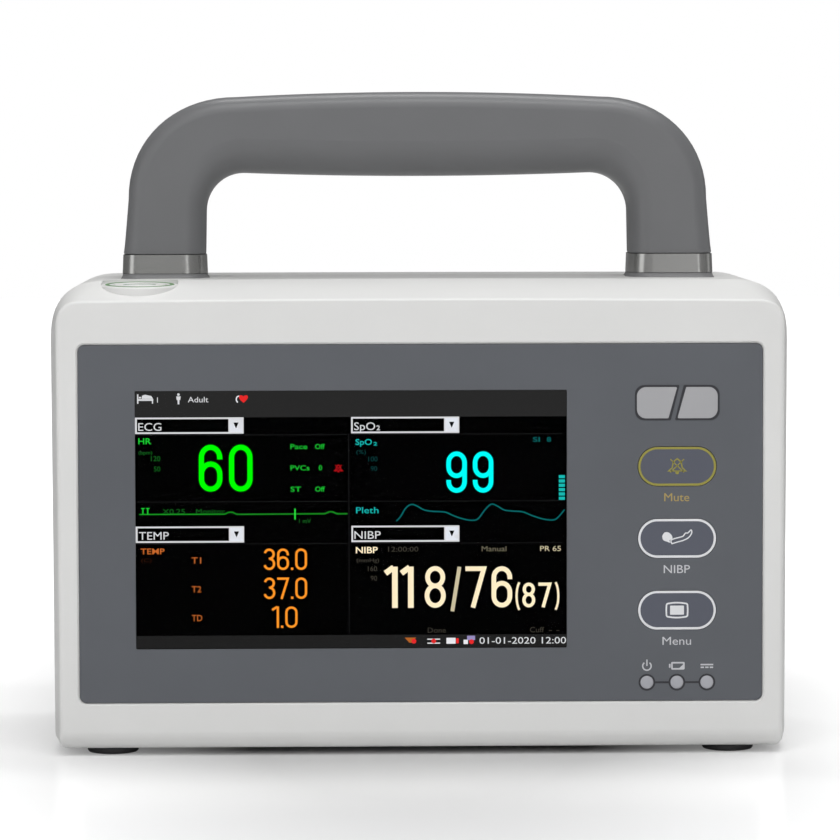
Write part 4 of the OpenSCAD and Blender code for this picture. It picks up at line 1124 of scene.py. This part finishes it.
def indicator_icons(ink, u, v):
    """Power, battery and direct-current symbols above the indicators."""
    left, power_v = u - LED_PITCH, v - 0.3
    ink.line(arc_points(left, power_v - 0.13, 1.06, 1.06, 128, 412, 24), 0.34)
    ink.box(left - 0.17, power_v - 0.1, left + 0.17, power_v + 1.5)
    cell_v = v - 0.4
    ink.fill(box_outline(u + 0.25, cell_v, 3.4, 1.95, 0.3, 4),
             box_outline(u + 0.25, cell_v, 2.6, 1.15, 0.1, 4))
    ink.box(u - 2.0, cell_v - 0.5, u - 1.6, cell_v + 0.5, 0.15)
    ink.fill([(u + 0.6, cell_v - 0.58), (u + 1.6, cell_v - 0.58), (u + 1.6, cell_v + 0.35)])
    right, line_v = u + LED_PITCH, v - 0.6
    ink.box(right - 1.6, line_v + 0.3, right + 1.6, line_v + 0.65)
    for i in (-1, 0, 1):
        ink.box(right + i * 1.15 - 0.42, line_v - 0.4, right + i * 1.15 + 0.42, line_v - 0.05)


def mute_symbol(ink):
    """Crossed-out bell."""
    bell(ink, 0, 0.1, 2.3, 0.33)


def cuff_symbol(ink):
    """Cuff bulb and an arm."""
    bulb = [(-3.75, 0.55), (-3.2, 1.45), (-2.2, 1.5), (-1.35, 0.75), (-1.2, -0.1), (-1.9, -0.5),
            (-1.7, -1.1), (-2.5, -0.85), (-3.5, -0.4), (-3.75, 0.55)]
    ink.fill(smooth_curve(bulb, 5)[:-1])
    arm = [(-1.3, -1.35), (-1.55, -0.6), (-0.9, -0.15), (0.6, 0.25), (1.5, 0.55), (2.1, 1.3), (2.7, 1.35),
           (3.5, 2.1), (3.65, 1.3), (2.9, 0.2), (1.6, -0.5), (0.2, -0.9)]
    ink.line(smooth_curve(arm + [arm[0]], 5)[:-1], 0.3, closed=True)


def menu_symbol(ink):
    """Screen with a bowed outline and a solid middle."""
    bow = [(-2.62, -1.61), (0, -2.02), (2.62, -1.61), (2.71, 0), (2.62, 1.61), (0, 2.02), (-2.62, 1.61),
           (-2.71, 0)]
    ink.line(rounded(bow, [0.45, 11, 0.45, 11, 0.45, 11, 0.45, 11], 5), 0.4, closed=True)
    ink.box(-1.75, -1.15, 1.75, 1.15, 0.15)


# ---------------------------------------------------------------- handle

grip_low, grip_high = span("handle_grip")
collar_low, collar_high = span("collar_left")
handle_mid_y = (grip_low.y + grip_high.y) / 2
HALF_DEPTH = (grip_high.y - grip_low.y) / 2
handle_half = grip_high.x - 0.15
GAP_HALF = 54.0
BEND = (28, 26.3)
BEND_POWER = 2.12
INNER_R = 9.5
UNDER_Z = 145.5
UNDER_BOW = 0.85
GRIP_CROWN = 1.23
LEG_LEAN = 1.3
LEG_TAPER = 1.3
leg_bottom = grip_low.z
grip_top = grip_high.z


def handle_spine():
    """Pairs of outer and inner points of the handle's front view, with the share of the way into the grip."""
    bend_c = (handle_half - LEG_LEAN - BEND[0], grip_top - GRIP_CROWN - BEND[1])
    inner_c = (GAP_HALF - INNER_R, UNDER_Z + UNDER_BOW - INNER_R)
    pairs = []
    for i in range(7):
        t = i / 6
        outer = (handle_half - LEG_LEAN * t ** 0.9, leg_bottom + (bend_c[1] - leg_bottom) * t)
        inner = (GAP_HALF + 0.2 * (1 - t), leg_bottom + (inner_c[1] - leg_bottom) * t)
        pairs.append((outer, inner, 0.0))
    turns = 18
    for i in range(1, turns + 1):
        t = i / turns
        a = math.pi / 2 * t
        outer = (bend_c[0] + BEND[0] * max(0, math.cos(a)) ** (2 / BEND_POWER),
                 bend_c[1] + BEND[1] * math.sin(a) ** (2 / BEND_POWER))
        inner = (inner_c[0] + INNER_R * math.cos(a), inner_c[1] + INNER_R * math.sin(a))
        pairs.append((outer, inner, t))
    spans = 12
    for i in range(1, spans + 1):
        t = i / spans
        x_out, x_in = bend_c[0] * (1 - t), inner_c[0] * (1 - t)
        outer = (x_out, grip_top - GRIP_CROWN * (x_out / bend_c[0]) ** 2)
        inner = (x_in, UNDER_Z + UNDER_BOW * (x_in / inner_c[0]) ** 2)
        pairs.append((outer, inner, 1.0))
    left = [((-o[0], o[1]), (-i[0], i[1]), s) for o, i, s in reversed(pairs)]
    return pairs[:-1] + left


def blend(a, b, t):
    """Smooth step from a to b."""
    t = max(0, min(1, t))
    return a + (b - a) * t * t * (3 - 2 * t)


def leg_section(share, shrink=0.0):
    """Half section of the handle as (from outer, from inner, depth) triples, front half first."""
    depth = HALF_DEPTH - shrink
    outer_run = 4.2
    outer_in = 4.6
    inner_run = blend(6.2, 8.7, share)
    inner_in = blend(7.5, 9.5, share)
    crease = math.radians(blend(0, 9, (share - 0.35) / 0.5))
    half = []
    for i in range(4):
        half.append(("outer", shrink, -(depth - outer_in) * i / 4))
    for i in range(11):
        t = math.pi / 2 * i / 10
        run = shrink + outer_run * (1 - math.cos(t))
        half.append(("outer", run, -(depth - outer_in + outer_in * math.sin(t))))
    half.append(("inner", inner_run + 0.25, -depth))
    for i in range(13):
        t = crease + (math.pi / 2 - crease) * i / 12
        scale = 1 / math.cos(crease)
        run = inner_run - (inner_run - shrink) * (math.sin(t) - math.sin(crease)) / (1 - math.sin(crease))
        half.append(("inner", run, -(depth - inner_in + inner_in * math.cos(t) * scale)))
    for i in range(1, 4):
        half.append(("inner", shrink, -(depth - inner_in) * (1 - i / 4)))
    return half


def section_ring(outer, inner, share, shrink=0.0):
    """Closed ring of the handle between an outer and an inner point of its front view."""
    o, n = Vector(outer), Vector(inner)
    across = (n - o).normalized()
    front = leg_section(share, shrink)
    back = [(anchor, run, -d) for anchor, run, d in reversed(front[1:])]
    middle_inner = [("inner", shrink, 0.0)]
    points = []
    for anchor, run, d in front + middle_inner + back:
        drawn_in = LEG_TAPER * (1 - share) * (HALF_DEPTH + d) / (2 * HALF_DEPTH)
        p = o + across * run if anchor == "outer" else n - across * (run + drawn_in)
        points.append((p.x, handle_mid_y + d, p.y))
    return points


def handle():
    """Grip, metal collars and the flared feet under them."""
    spine = handle_spine()
    edge = 0.4

    def lifted(pair, z, shrink):
        outer, inner, share = pair
        return section_ring((outer[0], z), (inner[0], z), share, shrink)

    rings = [lifted(spine[0], leg_bottom, edge), lifted(spine[0], leg_bottom + edge * 0.3, edge * 0.3)]
    rings.append(lifted(spine[0], leg_bottom + edge, 0))
    rings += [section_ring(*stage) for stage in spine[1:-1]]
    last = spine[-1]
    rings += [lifted(last, leg_bottom + edge, 0), lifted(last, leg_bottom + edge * 0.3, edge * 0.3),
              lifted(last, leg_bottom, edge)]
    mesh = loft_mesh("grip", rings)
    piece("grip", mesh, handle_mat, stands_for=["handle_grip"], sharp=30)
    for side, name in ((-1, "left"), (1, "right")):
        outer, inner = (side * (handle_half + 0.15), 0), (side * GAP_HALF, 0)
        collar = []
        steps = ((collar_low.z, 0.2), (collar_low.z + 0.12, 0.05), (collar_high.z - 0.12, 0.0),
                 (collar_high.z, 0.15))
        for z, shrink in steps:
            flare = 0.25 * (collar_high.z - z) / (collar_high.z - collar_low.z)
            ends = ((outer[0] + side * flare, 0), (inner[0] - side * flare, 0), 0.0)
            collar.append(lifted(ends, z, shrink))
        piece("collar_ring_" + name, loft_mesh("collar", collar), collar_mat,
              stands_for=["collar_" + name], sharp=40)
        foot = []
        top = collar_low.z
        for i in range(9):
            t = i / 8
            grow = 0.05 + 0.55 * t * t
            ring_pts = lifted(((outer[0] + side * (0.1 + grow), 0), (inner[0] - side * (0.1 + grow), 0), 0.0),
                              0, 0)
            wide = 1 + grow / HALF_DEPTH
            foot.append([(x, handle_mid_y + (y - handle_mid_y) * wide,
                          top + (housing_top(x, y) - 0.05 - top) * t) for x, y, _ in ring_pts])
        lip_ends = ((outer[0] + side * 0.1, 0), (inner[0] - side * 0.1, 0), 0.0)
        lip = [[(x, y, top) for x, y, _ in lifted(lip_ends, 0, 0.25)]]
        piece("leg_foot_" + name, loft_mesh("foot", lip + foot), foot_mat,
              stands_for=["handle_foot_" + name], sharp=40)


# ---------------------------------------------------------------- left side: sockets

SOCKETS = {
    "ecg_socket": (green_mat, "green_plastic", [(-6, 91, 6.5, 8.5, 10, 6)]),
    "spo2_socket": (blue_mat, "blue_plastic", [(-6, 69, 5.5, 7.3, 8.8, 5)]),
    "temp_sockets": (brown_mat, "brown_plastic", [(-14, 53, 3.2, 4.2, 5.2, 2), (2, 53, 3.2, 4.2, 5.2, 2)]),
    "ibp_sockets": (red_mat, "red_plastic", [(-15.5, 38.5, 4.6, 6, 7.2, 4), (3.5, 38.5, 4.6, 6, 7.2, 4)]),
    "nibp_port": (steel_mat, "bright_steel", [(-6, 24, 4.2, 5.4, 6.6, 0)]),
}
panel_x = connector_low.x
SOCKET_DEPTH = 9.4
SOCKET_BACK = 14


def socket_meshes(y, z, bore, shell, flange):
    """Round shell with a flange that has softened edges, and a key rib in its bore."""
    e = 0.25
    loop = [(0, -SOCKET_DEPTH), (bore, -SOCKET_DEPTH), (bore, 0.3), (bore + 0.3, 0.6), (flange - e, 0.6),
            (flange - 0.07, 0.53), (flange, 0.35), (flange, 0), (shell, 0), (shell, -SOCKET_BACK),
            (0, -SOCKET_BACK)]
    ring_mesh = lathe_mesh("socket", [(r, -a) for r, a in loop], (panel_x, y, z), "x", 64)
    rib = block_mesh((panel_x + 1.2, panel_x + SOCKET_DEPTH - 0.2), (y - 0.6, y + 0.6),
                     (z + bore - 0.75, z + bore + 0.3), 0.2, "x")
    return [ring_mesh, rib]


def sockets():
    """Side panel with its coloured sockets and their contacts."""
    loops = [span_outline(connector_y, connector_z, 4)]
    pins = []
    for node, (mat, slot, places) in SOCKETS.items():
        meshes = []
        for y, z, bore, shell, flange, count in places:
            loops.append(circle(y, z, shell + 0.05, 64))
            meshes += socket_meshes(y, z, bore, shell, flange)
            for i in range(count):
                t = 2 * math.pi * i / count + math.pi / 2 + math.pi / max(1, count)
                reach = bore * 0.52
                pin_end = -SOCKET_DEPTH - 0.2
                pin = [(0, -5.2), (0.25, -5.25), (0.5, -5.5), (0.5, pin_end), (0, pin_end)]
                at = (panel_x, y + reach * math.cos(t), z + reach * math.sin(t))
                pins.append(lathe_mesh("pin", [(r, -a) for r, a in pin], at, "x", 16))
        if node == "nibp_port":
            root = -SOCKET_DEPTH - 0.1
            nozzle = [(1.2, root), (1.2, -1.4), (1.5, -1.1), (2.0, -1.6), (2.2, -3.6), (1.9, -3.7),
                      (2.1, -5.6), (1.9, -5.8), (1.9, root), (1.2, root)]
            y, z = places[0][:2]
            meshes.append(lathe_mesh("nozzle", [(r, -a) for r, a in nozzle], (panel_x, y, z), "x", 32))
        piece(node + "_shell", joined(node, meshes), mat, stands_for=[node], sharp=40)
    piece("socket_pins", joined("pins", pins), gold_mat, sharp=50)
    plate = plate_mesh("side_panel", loops, "x", panel_x, panel_x + 2.6, 0.35)
    low, high = connector_low, connector_high
    flange = span_outline((low.y, high.y), (low.z, high.z), 5)
    flange_plate = plate_mesh("flange", [flange] + loops[1:], "x", panel_x + 2.6, high.x)
    piece("side_panel", joined("side_panel", [plate, flange_plate]), socket_panel_mat,
          stands_for=["connector_panel"], sharp=50)


# ---------------------------------------------------------------- right side: battery door and port flap

HINGE_X, HINGE_Y, HINGE_R, HINGE_BORE = 91.3, 14.5, 1.3, 0.75
HINGE_ZS = (22, 72)
HINGE_LEN, END_KNUCKLE, MID_KNUCKLE = 24, 5.7, 12
FLAP_HINGE_Z = 60
FLAP_KNUCKLES = ((21, 23.7), (31.3, 34))
LOCK_Y, LOCK_Z, LOCK_R = -8, 59, 4


def knuckle(axis, low, high, u, v, toward):
    """Barrel of a hinge with a web to what it belongs to; toward is the web's far side."""
    soft = 0.2
    wall = [(HINGE_BORE, low), (HINGE_BORE, high), (HINGE_R - soft, high), (HINGE_R, high - soft),
            (HINGE_R, low + soft), (HINGE_R - soft, low), (HINGE_BORE, low)]
    reach = sorted((v + math.copysign(0.95, toward - v), toward))
    if axis == "y":
        wall = [(r, -a) for r, a in wall]
        barrel = lathe_mesh("barrel", wall, (u, 0, v), "y", 32)
        web = block_mesh((u - 0.6, u + 0.9), (low, high), reach)
    else:
        barrel = lathe_mesh("barrel", wall, (u, v, 0), "z", 32)
        web = block_mesh((u - 0.8, u + 0.9), reach, (low, high))
    return [barrel, web]


def battery_door():
    """Door with softened edges, grip ribs and its hinge barrels."""
    low, high = span("battery_door")
    door_edge = 13.0
    mid_y, mid_z = (low.y + door_edge) / 2, (low.z + high.z) / 2
    outline = rounded([(low.y, low.z), (door_edge, low.z), (door_edge, high.z), (low.y, high.z)],
                      [2, 0.5, 0.5, 2])
    skin = plate_mesh("door", [outline, circle(LOCK_Y, LOCK_Z, LOCK_R + 0.12)], "x", low.x, high.x, 0.35)
    meshes = [skin]
    for i in range(5):
        z = low.z + 9 + 2.6 * i
        rib = box_outline(-6.5, z, 9, 1.1, 0.5)
        meshes.append(plate_mesh("rib", [rib], "x", high.x - 0.2, high.x + 0.35, 0.25))
    frame_out = box_outline(mid_y, mid_z, door_edge - low.y - 5, high.z - low.z - 5, 2.5)
    frame_in = box_outline(mid_y, mid_z, door_edge - low.y - 6.2, high.z - low.z - 6.2, 2.0)
    meshes.append(plate_mesh("frame", [frame_out, frame_in], "x", high.x - 0.1, high.x + 0.22, 0.15))
    for z in HINGE_ZS:
        start = z + (HINGE_LEN - MID_KNUCKLE) / 2
        meshes += knuckle("z", start + 0.05, start + MID_KNUCKLE - 0.05, HINGE_X, HINGE_Y, door_edge - 0.2)
    piece("door_skin", joined("door", meshes), housing_mat, "battery_door",
          ["battery_door"], sharp=40)
    fixed = []
    for z in HINGE_ZS:
        for start in (z, z + HINGE_LEN - END_KNUCKLE):
            fixed += knuckle("z", start, start + END_KNUCKLE, HINGE_X, HINGE_Y, door_pocket[0][1] + 0.3)
    for y0, y1 in FLAP_KNUCKLES:
        fixed += knuckle("y", y0, y1, HINGE_X, FLAP_HINGE_Z, flap_pocket[1][1] + 0.3)
    piece("hinge_knuckles", joined("fixed", fixed), housing_mat, sharp=40)
    door_lock(high.x)


def door_lock(face):
    """Quarter-turn lock with a coin slot and a cam behind the door."""
    head_back = 90.1
    head = [(0, head_back), (LOCK_R, head_back), (LOCK_R, face - 0.35), (LOCK_R - 0.07, face - 0.18),
            (LOCK_R - 0.25, face - 0.1), (0, face - 0.1)]
    body = lathe_mesh("head", head, (0, LOCK_Y, LOCK_Z), "x", 64)
    coin_slot = block_mesh((face - 1.3, face + 1), (LOCK_Y - 0.7, LOCK_Y + 0.7), (LOCK_Z - 3, LOCK_Z + 3),
                           0.65, "x")
    head_mesh = carved(body, [coin_slot])
    cam_x = (88.75, head_back + 0.05)
    cam = block_mesh(cam_x, (LOCK_Y - 1.6, LOCK_Y + 1.6), (LOCK_Z - 1.6, LOCK_Z + 9), 1.5, "x")
    piece("lock_head", joined("lock", [head_mesh, cam]), dark_mat, "door_lock", ["door_lock"],
          sharp=35)


def port_flap():
    """Rubber-edged flap with a finger lip, and the socket behind it."""
    low, high = span("port_flap")
    mid_y, plate_top = (low.y + high.y) / 2, 58
    outline = span_outline((low.y, high.y), (low.z, plate_top), 1.5)
    meshes = [plate_mesh("flap", [outline], "x", high.x - 1.9, high.x, 0.35)]
    lip = box_outline(mid_y, low.z + 3, 7, 1.6, 0.7)
    meshes.append(plate_mesh("lip", [lip], "x", high.x - 0.2, high.x + 0.5, 0.3))
    port = box_outline(mid_y, 42, 7.4, 15, 0.8)
    port_in = box_outline(mid_y, 42, 6.6, 14.2, 0.5)
    meshes.append(plate_mesh("port_sign", [port, port_in], "x", high.x - 0.1, high.x + 0.15, 0.05))
    meshes += knuckle("y", mid_y - 3.45, mid_y + 3.45, HINGE_X, FLAP_HINGE_Z, plate_top - 0.2)
    piece("flap_skin", joined("flap", meshes), dark_mat, "port_flap", ["port_flap"], sharp=40)
    low, high = span("multi_port")
    mid = (low + high) / 2
    outer = span_outline((low.y, high.y), (low.z, high.z), 0.6)
    mouth = rounded([(mid.y - 4.5, mid.z - 13), (mid.y + 4.5, mid.z - 13), (mid.y + 4.5, mid.z + 13),
                     (mid.y - 4.5, mid.z + 13)], [1, 3, 3, 1])
    walls = plate_mesh("walls", [outer, mouth], "x", high.x - 8, high.x, 0.2)
    back = plate_mesh("back", [outer], "x", low.x, high.x - 8)
    piece("port_body", joined("port", [walls, back]), dark_mat,
          stands_for=["multi_port"], sharp=40)
    pins = []
    for row in (-1.6, 1.6):
        for i in range(9):
            at = (0, mid.y + row, mid.z - 9.6 + 2.4 * i)
            foot_x, tip_x = high.x - 8.1, high.x - 2.9
            pin = [(0, foot_x), (0.4, foot_x), (0.4, high.x - 3.2), (0.15, tip_x), (0, tip_x)]
            pins.append(lathe_mesh("pin", pin, at, "x", 12))
    piece("port_pins", joined("pins", pins), gold_mat, sharp=50)


def battery():
    """Battery pack with a pull tab, seen when the door is open."""
    low, high = span("battery_pack")
    outline = span_outline((low.x, high.x), (low.y, high.y), 3)
    shell = plate_mesh("pack", [outline], "z", low.z, high.z, 0.8)
    cap = plate_mesh("pack_tab", [box_outline((low.y + high.y) / 2, high.z - 12, 12, 8, 1.2)], "x",
                     high.x - 0.2, high.x + 0.6, 0.3)
    piece("battery_case", joined("pack", [shell, cap]), battery_mat,
          stands_for=["battery_pack"], sharp=40)


# ---------------------------------------------------------------- rear: mounting plate and screws

VESA_HALF = 37.5
PLATE_REACH = 42.5


def pan_head(radius, face, u, v, depth):
    """Screw head facing +Y with a cross recess."""
    profile_points = [(0, face - depth), (radius, face - depth), (radius, face - 0.6),
                      (radius * 0.86, face - 0.18), (radius * 0.55, face), (0, face)]
    head = lathe_mesh("screw", [(r, -a) for r, a in profile_points], (u, 0, v), "y", 40)
    arm, narrow = radius * 0.55, radius * 0.13
    cross = [block_mesh((u - arm, u + arm), (face - 1.1, face + 1), (v - narrow, v + narrow)),
             block_mesh((u - narrow, u + narrow), (face - 1.1, face + 1), (v - arm, v + arm))]
    return carved(head, cross)


def rear_plate():
    """Steel plate with four threaded holes, its screws and the case screws."""
    low, high = span("rear_mount_plate")
    mid_x, mid_z = (low.x + high.x) / 2, (low.z + high.z) / 2
    corners = [(mid_x + i * VESA_HALF, mid_z + j * VESA_HALF) for i in (-1, 1) for j in (-1, 1)]
    screws = [(mid_x + PLATE_REACH, mid_z), (mid_x, mid_z + PLATE_REACH), (mid_x - PLATE_REACH, mid_z),
              (mid_x, mid_z - PLATE_REACH)]
    loops = [box_outline(mid_x, mid_z, high.x - low.x, high.z - low.z, 4)]
    loops += [circle(x, z, 2.1) for x, z in corners]
    loops += [circle(x, z, 2.9) for x, z in screws]
    plate = plate_mesh("plate", loops, "y", high.y - 2.7, high.y, 0.3)
    meshes = [plate]
    for x, z in corners:
        thread = [(4.5, 34), (4.5, high.y - 2.6), (2.1, high.y - 2.6), (1.65, high.y - 3.0)]
        pitch = 0.7
        turns = int((high.y - 3.0 - 35.5) / pitch)
        for i in range(turns):
            a = high.y - 3.0 - i * pitch
            thread += [(1.95, a - pitch * 0.4), (1.65, a - pitch * 0.8)]
        thread += [(1.65, 35.5), (0, 35.5), (0, 34), (4.5, 34)]
        meshes.append(lathe_mesh("insert", [(r, -a) for r, a in thread[:-1]], (x, 0, z), "y", 32))
    piece("mount_plate", joined("plate", meshes), sheet_mat,
          stands_for=["rear_mount_plate"], sharp=35)
    heads = [pan_head(2.75, high.y - 0.1, x, z, 1.6) for x, z in screws]
    piece("plate_screw_heads", joined("heads", heads), steel_mat,
          stands_for=["plate_screws"], sharp=35)
    heads = [pan_head(2.75, CASE_HEAD_Y + 2, x, z, 2) for x, z in CASE_SCREWS]
    piece("case_screw_heads", joined("heads", heads), steel_mat,
          stands_for=["case_screws"], sharp=35)


def rubber_feet():
    """Four round feet with a soft edge and a shallow tread."""
    feet = []
    for x in FOOT_XS:
        for y in FOOT_YS:
            loop = [(0, 0.35), (4.6, 0.35), (4.9, 0.0), (5.6, 0.0), (6.1, 0.12), (6.4, 0.45), (6.5, 0.9),
                    (6.5, base_z + 0.8), (0, base_z + 0.8)]
            feet.append(lathe_mesh("foot", loop, (x, y, 0), "z", 48))
    piece("foot_pads", joined("feet", feet), rubber_mat, stands_for=["rubber_feet"], sharp=40)


# ---------------------------------------------------------------- camera, light and floor


def studio():
    """Camera, pale floor, soft overhead light and a white surround."""
    scene = bpy.context.scene
    scene.view_settings.view_transform = "Standard"
    scene.view_settings.look = "None"
    camera_data = bpy.data.cameras.new("camera")
    camera_data.sensor_width = 36
    camera_data.lens = 171.7
    camera = bpy.data.objects.new("camera", camera_data)
    camera.location = (-0.022, -1.044, 0.1432)
    turn = Matrix.Rotation(math.radians(-1.245), 3, "Z") @ Matrix.Rotation(math.radians(90 - 3.36), 3, "X")
    camera.rotation_euler = (turn @ Matrix.Rotation(-0.0022, 3, "Z")).to_euler()
    scene.collection.objects.link(camera)
    scene.camera = camera

    reach = 4e3
    corners = [(-reach, -reach, 0), (reach, -reach, 0), (reach, reach, 0), (-reach, reach, 0)]
    floor = new_object("floor", faces_mesh("floor", corners, [(0, 1, 2, 3)]))
    floor.data.materials.append(floor_material())

    def softbox(name, place, aim, size, power):
        data = bpy.data.lights.new(name, "AREA")
        data.shape = "RECTANGLE"
        data.size, data.size_y = size
        data.energy = power
        light = bpy.data.objects.new(name, data)
        light.location = place
        light.rotation_euler = (Vector(aim) - Vector(place)).to_track_quat("-Z", "Y").to_euler()
        scene.collection.objects.link(light)

    softbox("overhead_rear", (0.15, 0.28, 1.35), (0.0, 0.0, 0.1), (1.0, 0.15), 7)
    softbox("overhead_front", (0.1, -0.65, 1.3), (0.0, 0.0, 0.1), (1.0, 0.25), 7)
    softbox("front", (-0.2, -2.0, 1.2), (0.0, 0.0, 0.1), (2.0, 1.5), 13)
    softbox("left_strip", (-1.1, -0.75, 0.35), (0.0, 0.0, 0.1), (0.65, 1.0), 2.2)
    softbox("middle_strip", (0.5, -1.7, 0.3), (0.0, 0.0, 0.1), (0.25, 0.8), 0.9)
    softbox("right_strip", (1.1, 0.2, 0.3), (0.0, 0.0, 0.1), (0.4, 0.8), 0.4)

    world = bpy.data.worlds.new("studio")
    world.use_nodes = True
    scene.world = world
    nodes, links = world.node_tree.nodes, world.node_tree.links
    background = nodes["Background"]
    background.inputs["Color"].default_value = (1, 1, 1, 1)
    place = nodes.new("ShaderNodeTexCoord")
    parts = nodes.new("ShaderNodeSeparateXYZ")
    links.new(place.outputs["Generated"], parts.inputs["Vector"])
    room = nodes.new("ShaderNodeMapRange")
    room.inputs["From Min"].default_value = -1.0
    room.inputs["To Min"].default_value = 0.28
    room.inputs["To Max"].default_value = 0.2
    links.new(parts.outputs["Y"], room.inputs["Value"])
    path = nodes.new("ShaderNodeLightPath")
    seen = nodes.new("ShaderNodeMath")
    seen.operation = "MAXIMUM"
    links.new(room.outputs["Result"], seen.inputs[0])
    links.new(path.outputs["Is Camera Ray"], seen.inputs[1])
    links.new(seen.outputs["Value"], background.inputs["Strength"])


def floor_material():
    """White sweep with painted light: a glow that only the camera sees, none near the monitor and rising away
    from it, so the far floor turns white while the floor near the monitor stays darker.
    """
    mat = material("floor", (0.84, 0.84, 0.84), 0.16, tint=0.002, spread=0.02)
    nodes, links = mat.node_tree.nodes, mat.node_tree.links
    shader = nodes["Principled BSDF"]
    # Painted light on the floor: camera-only glow that grows with distance from the monitor
    shader.inputs["Emission Color"].default_value = (1, 1, 1, 1)
    shader.inputs["IOR"].default_value = 1.12
    place = nodes.new("ShaderNodeTexCoord")
    shape = nodes.new("ShaderNodeMapping")
    shape.inputs["Scale"].default_value = (1 / 0.11, 1 / 0.3, 1)
    links.new(place.outputs["Object"], shape.inputs["Vector"])
    reach = nodes.new("ShaderNodeVectorMath")
    reach.operation = "LENGTH"
    links.new(shape.outputs["Vector"], reach.inputs[0])
    # Painted glow: zero close to the monitor, full white far from it
    painted_glow_ramp = nodes.new("ShaderNodeMapRange")
    painted_glow_ramp.inputs["From Min"].default_value = 0.4
    painted_glow_ramp.inputs["From Max"].default_value = 2.1
    painted_glow_ramp.inputs["To Max"].default_value = 1.0
    links.new(reach.outputs["Value"], painted_glow_ramp.inputs["Value"])
    path = nodes.new("ShaderNodeLightPath")
    seen = nodes.new("ShaderNodeMath")
    seen.operation = "MULTIPLY"
    links.new(painted_glow_ramp.outputs["Result"], seen.inputs[0])
    links.new(path.outputs["Is Camera Ray"], seen.inputs[1])
    links.new(seen.outputs["Value"], shader.inputs["Emission Strength"])
    return mat


front_shell()
rear_shell()
power_pad()
front_panel()
display_frames()
display_red()
display_green()
display_cyan()
display_orange()
display_cream()
panel_print()
handle()
sockets()
battery_door()
port_flap()
battery()
rear_plate()
rubber_feet()
studio()
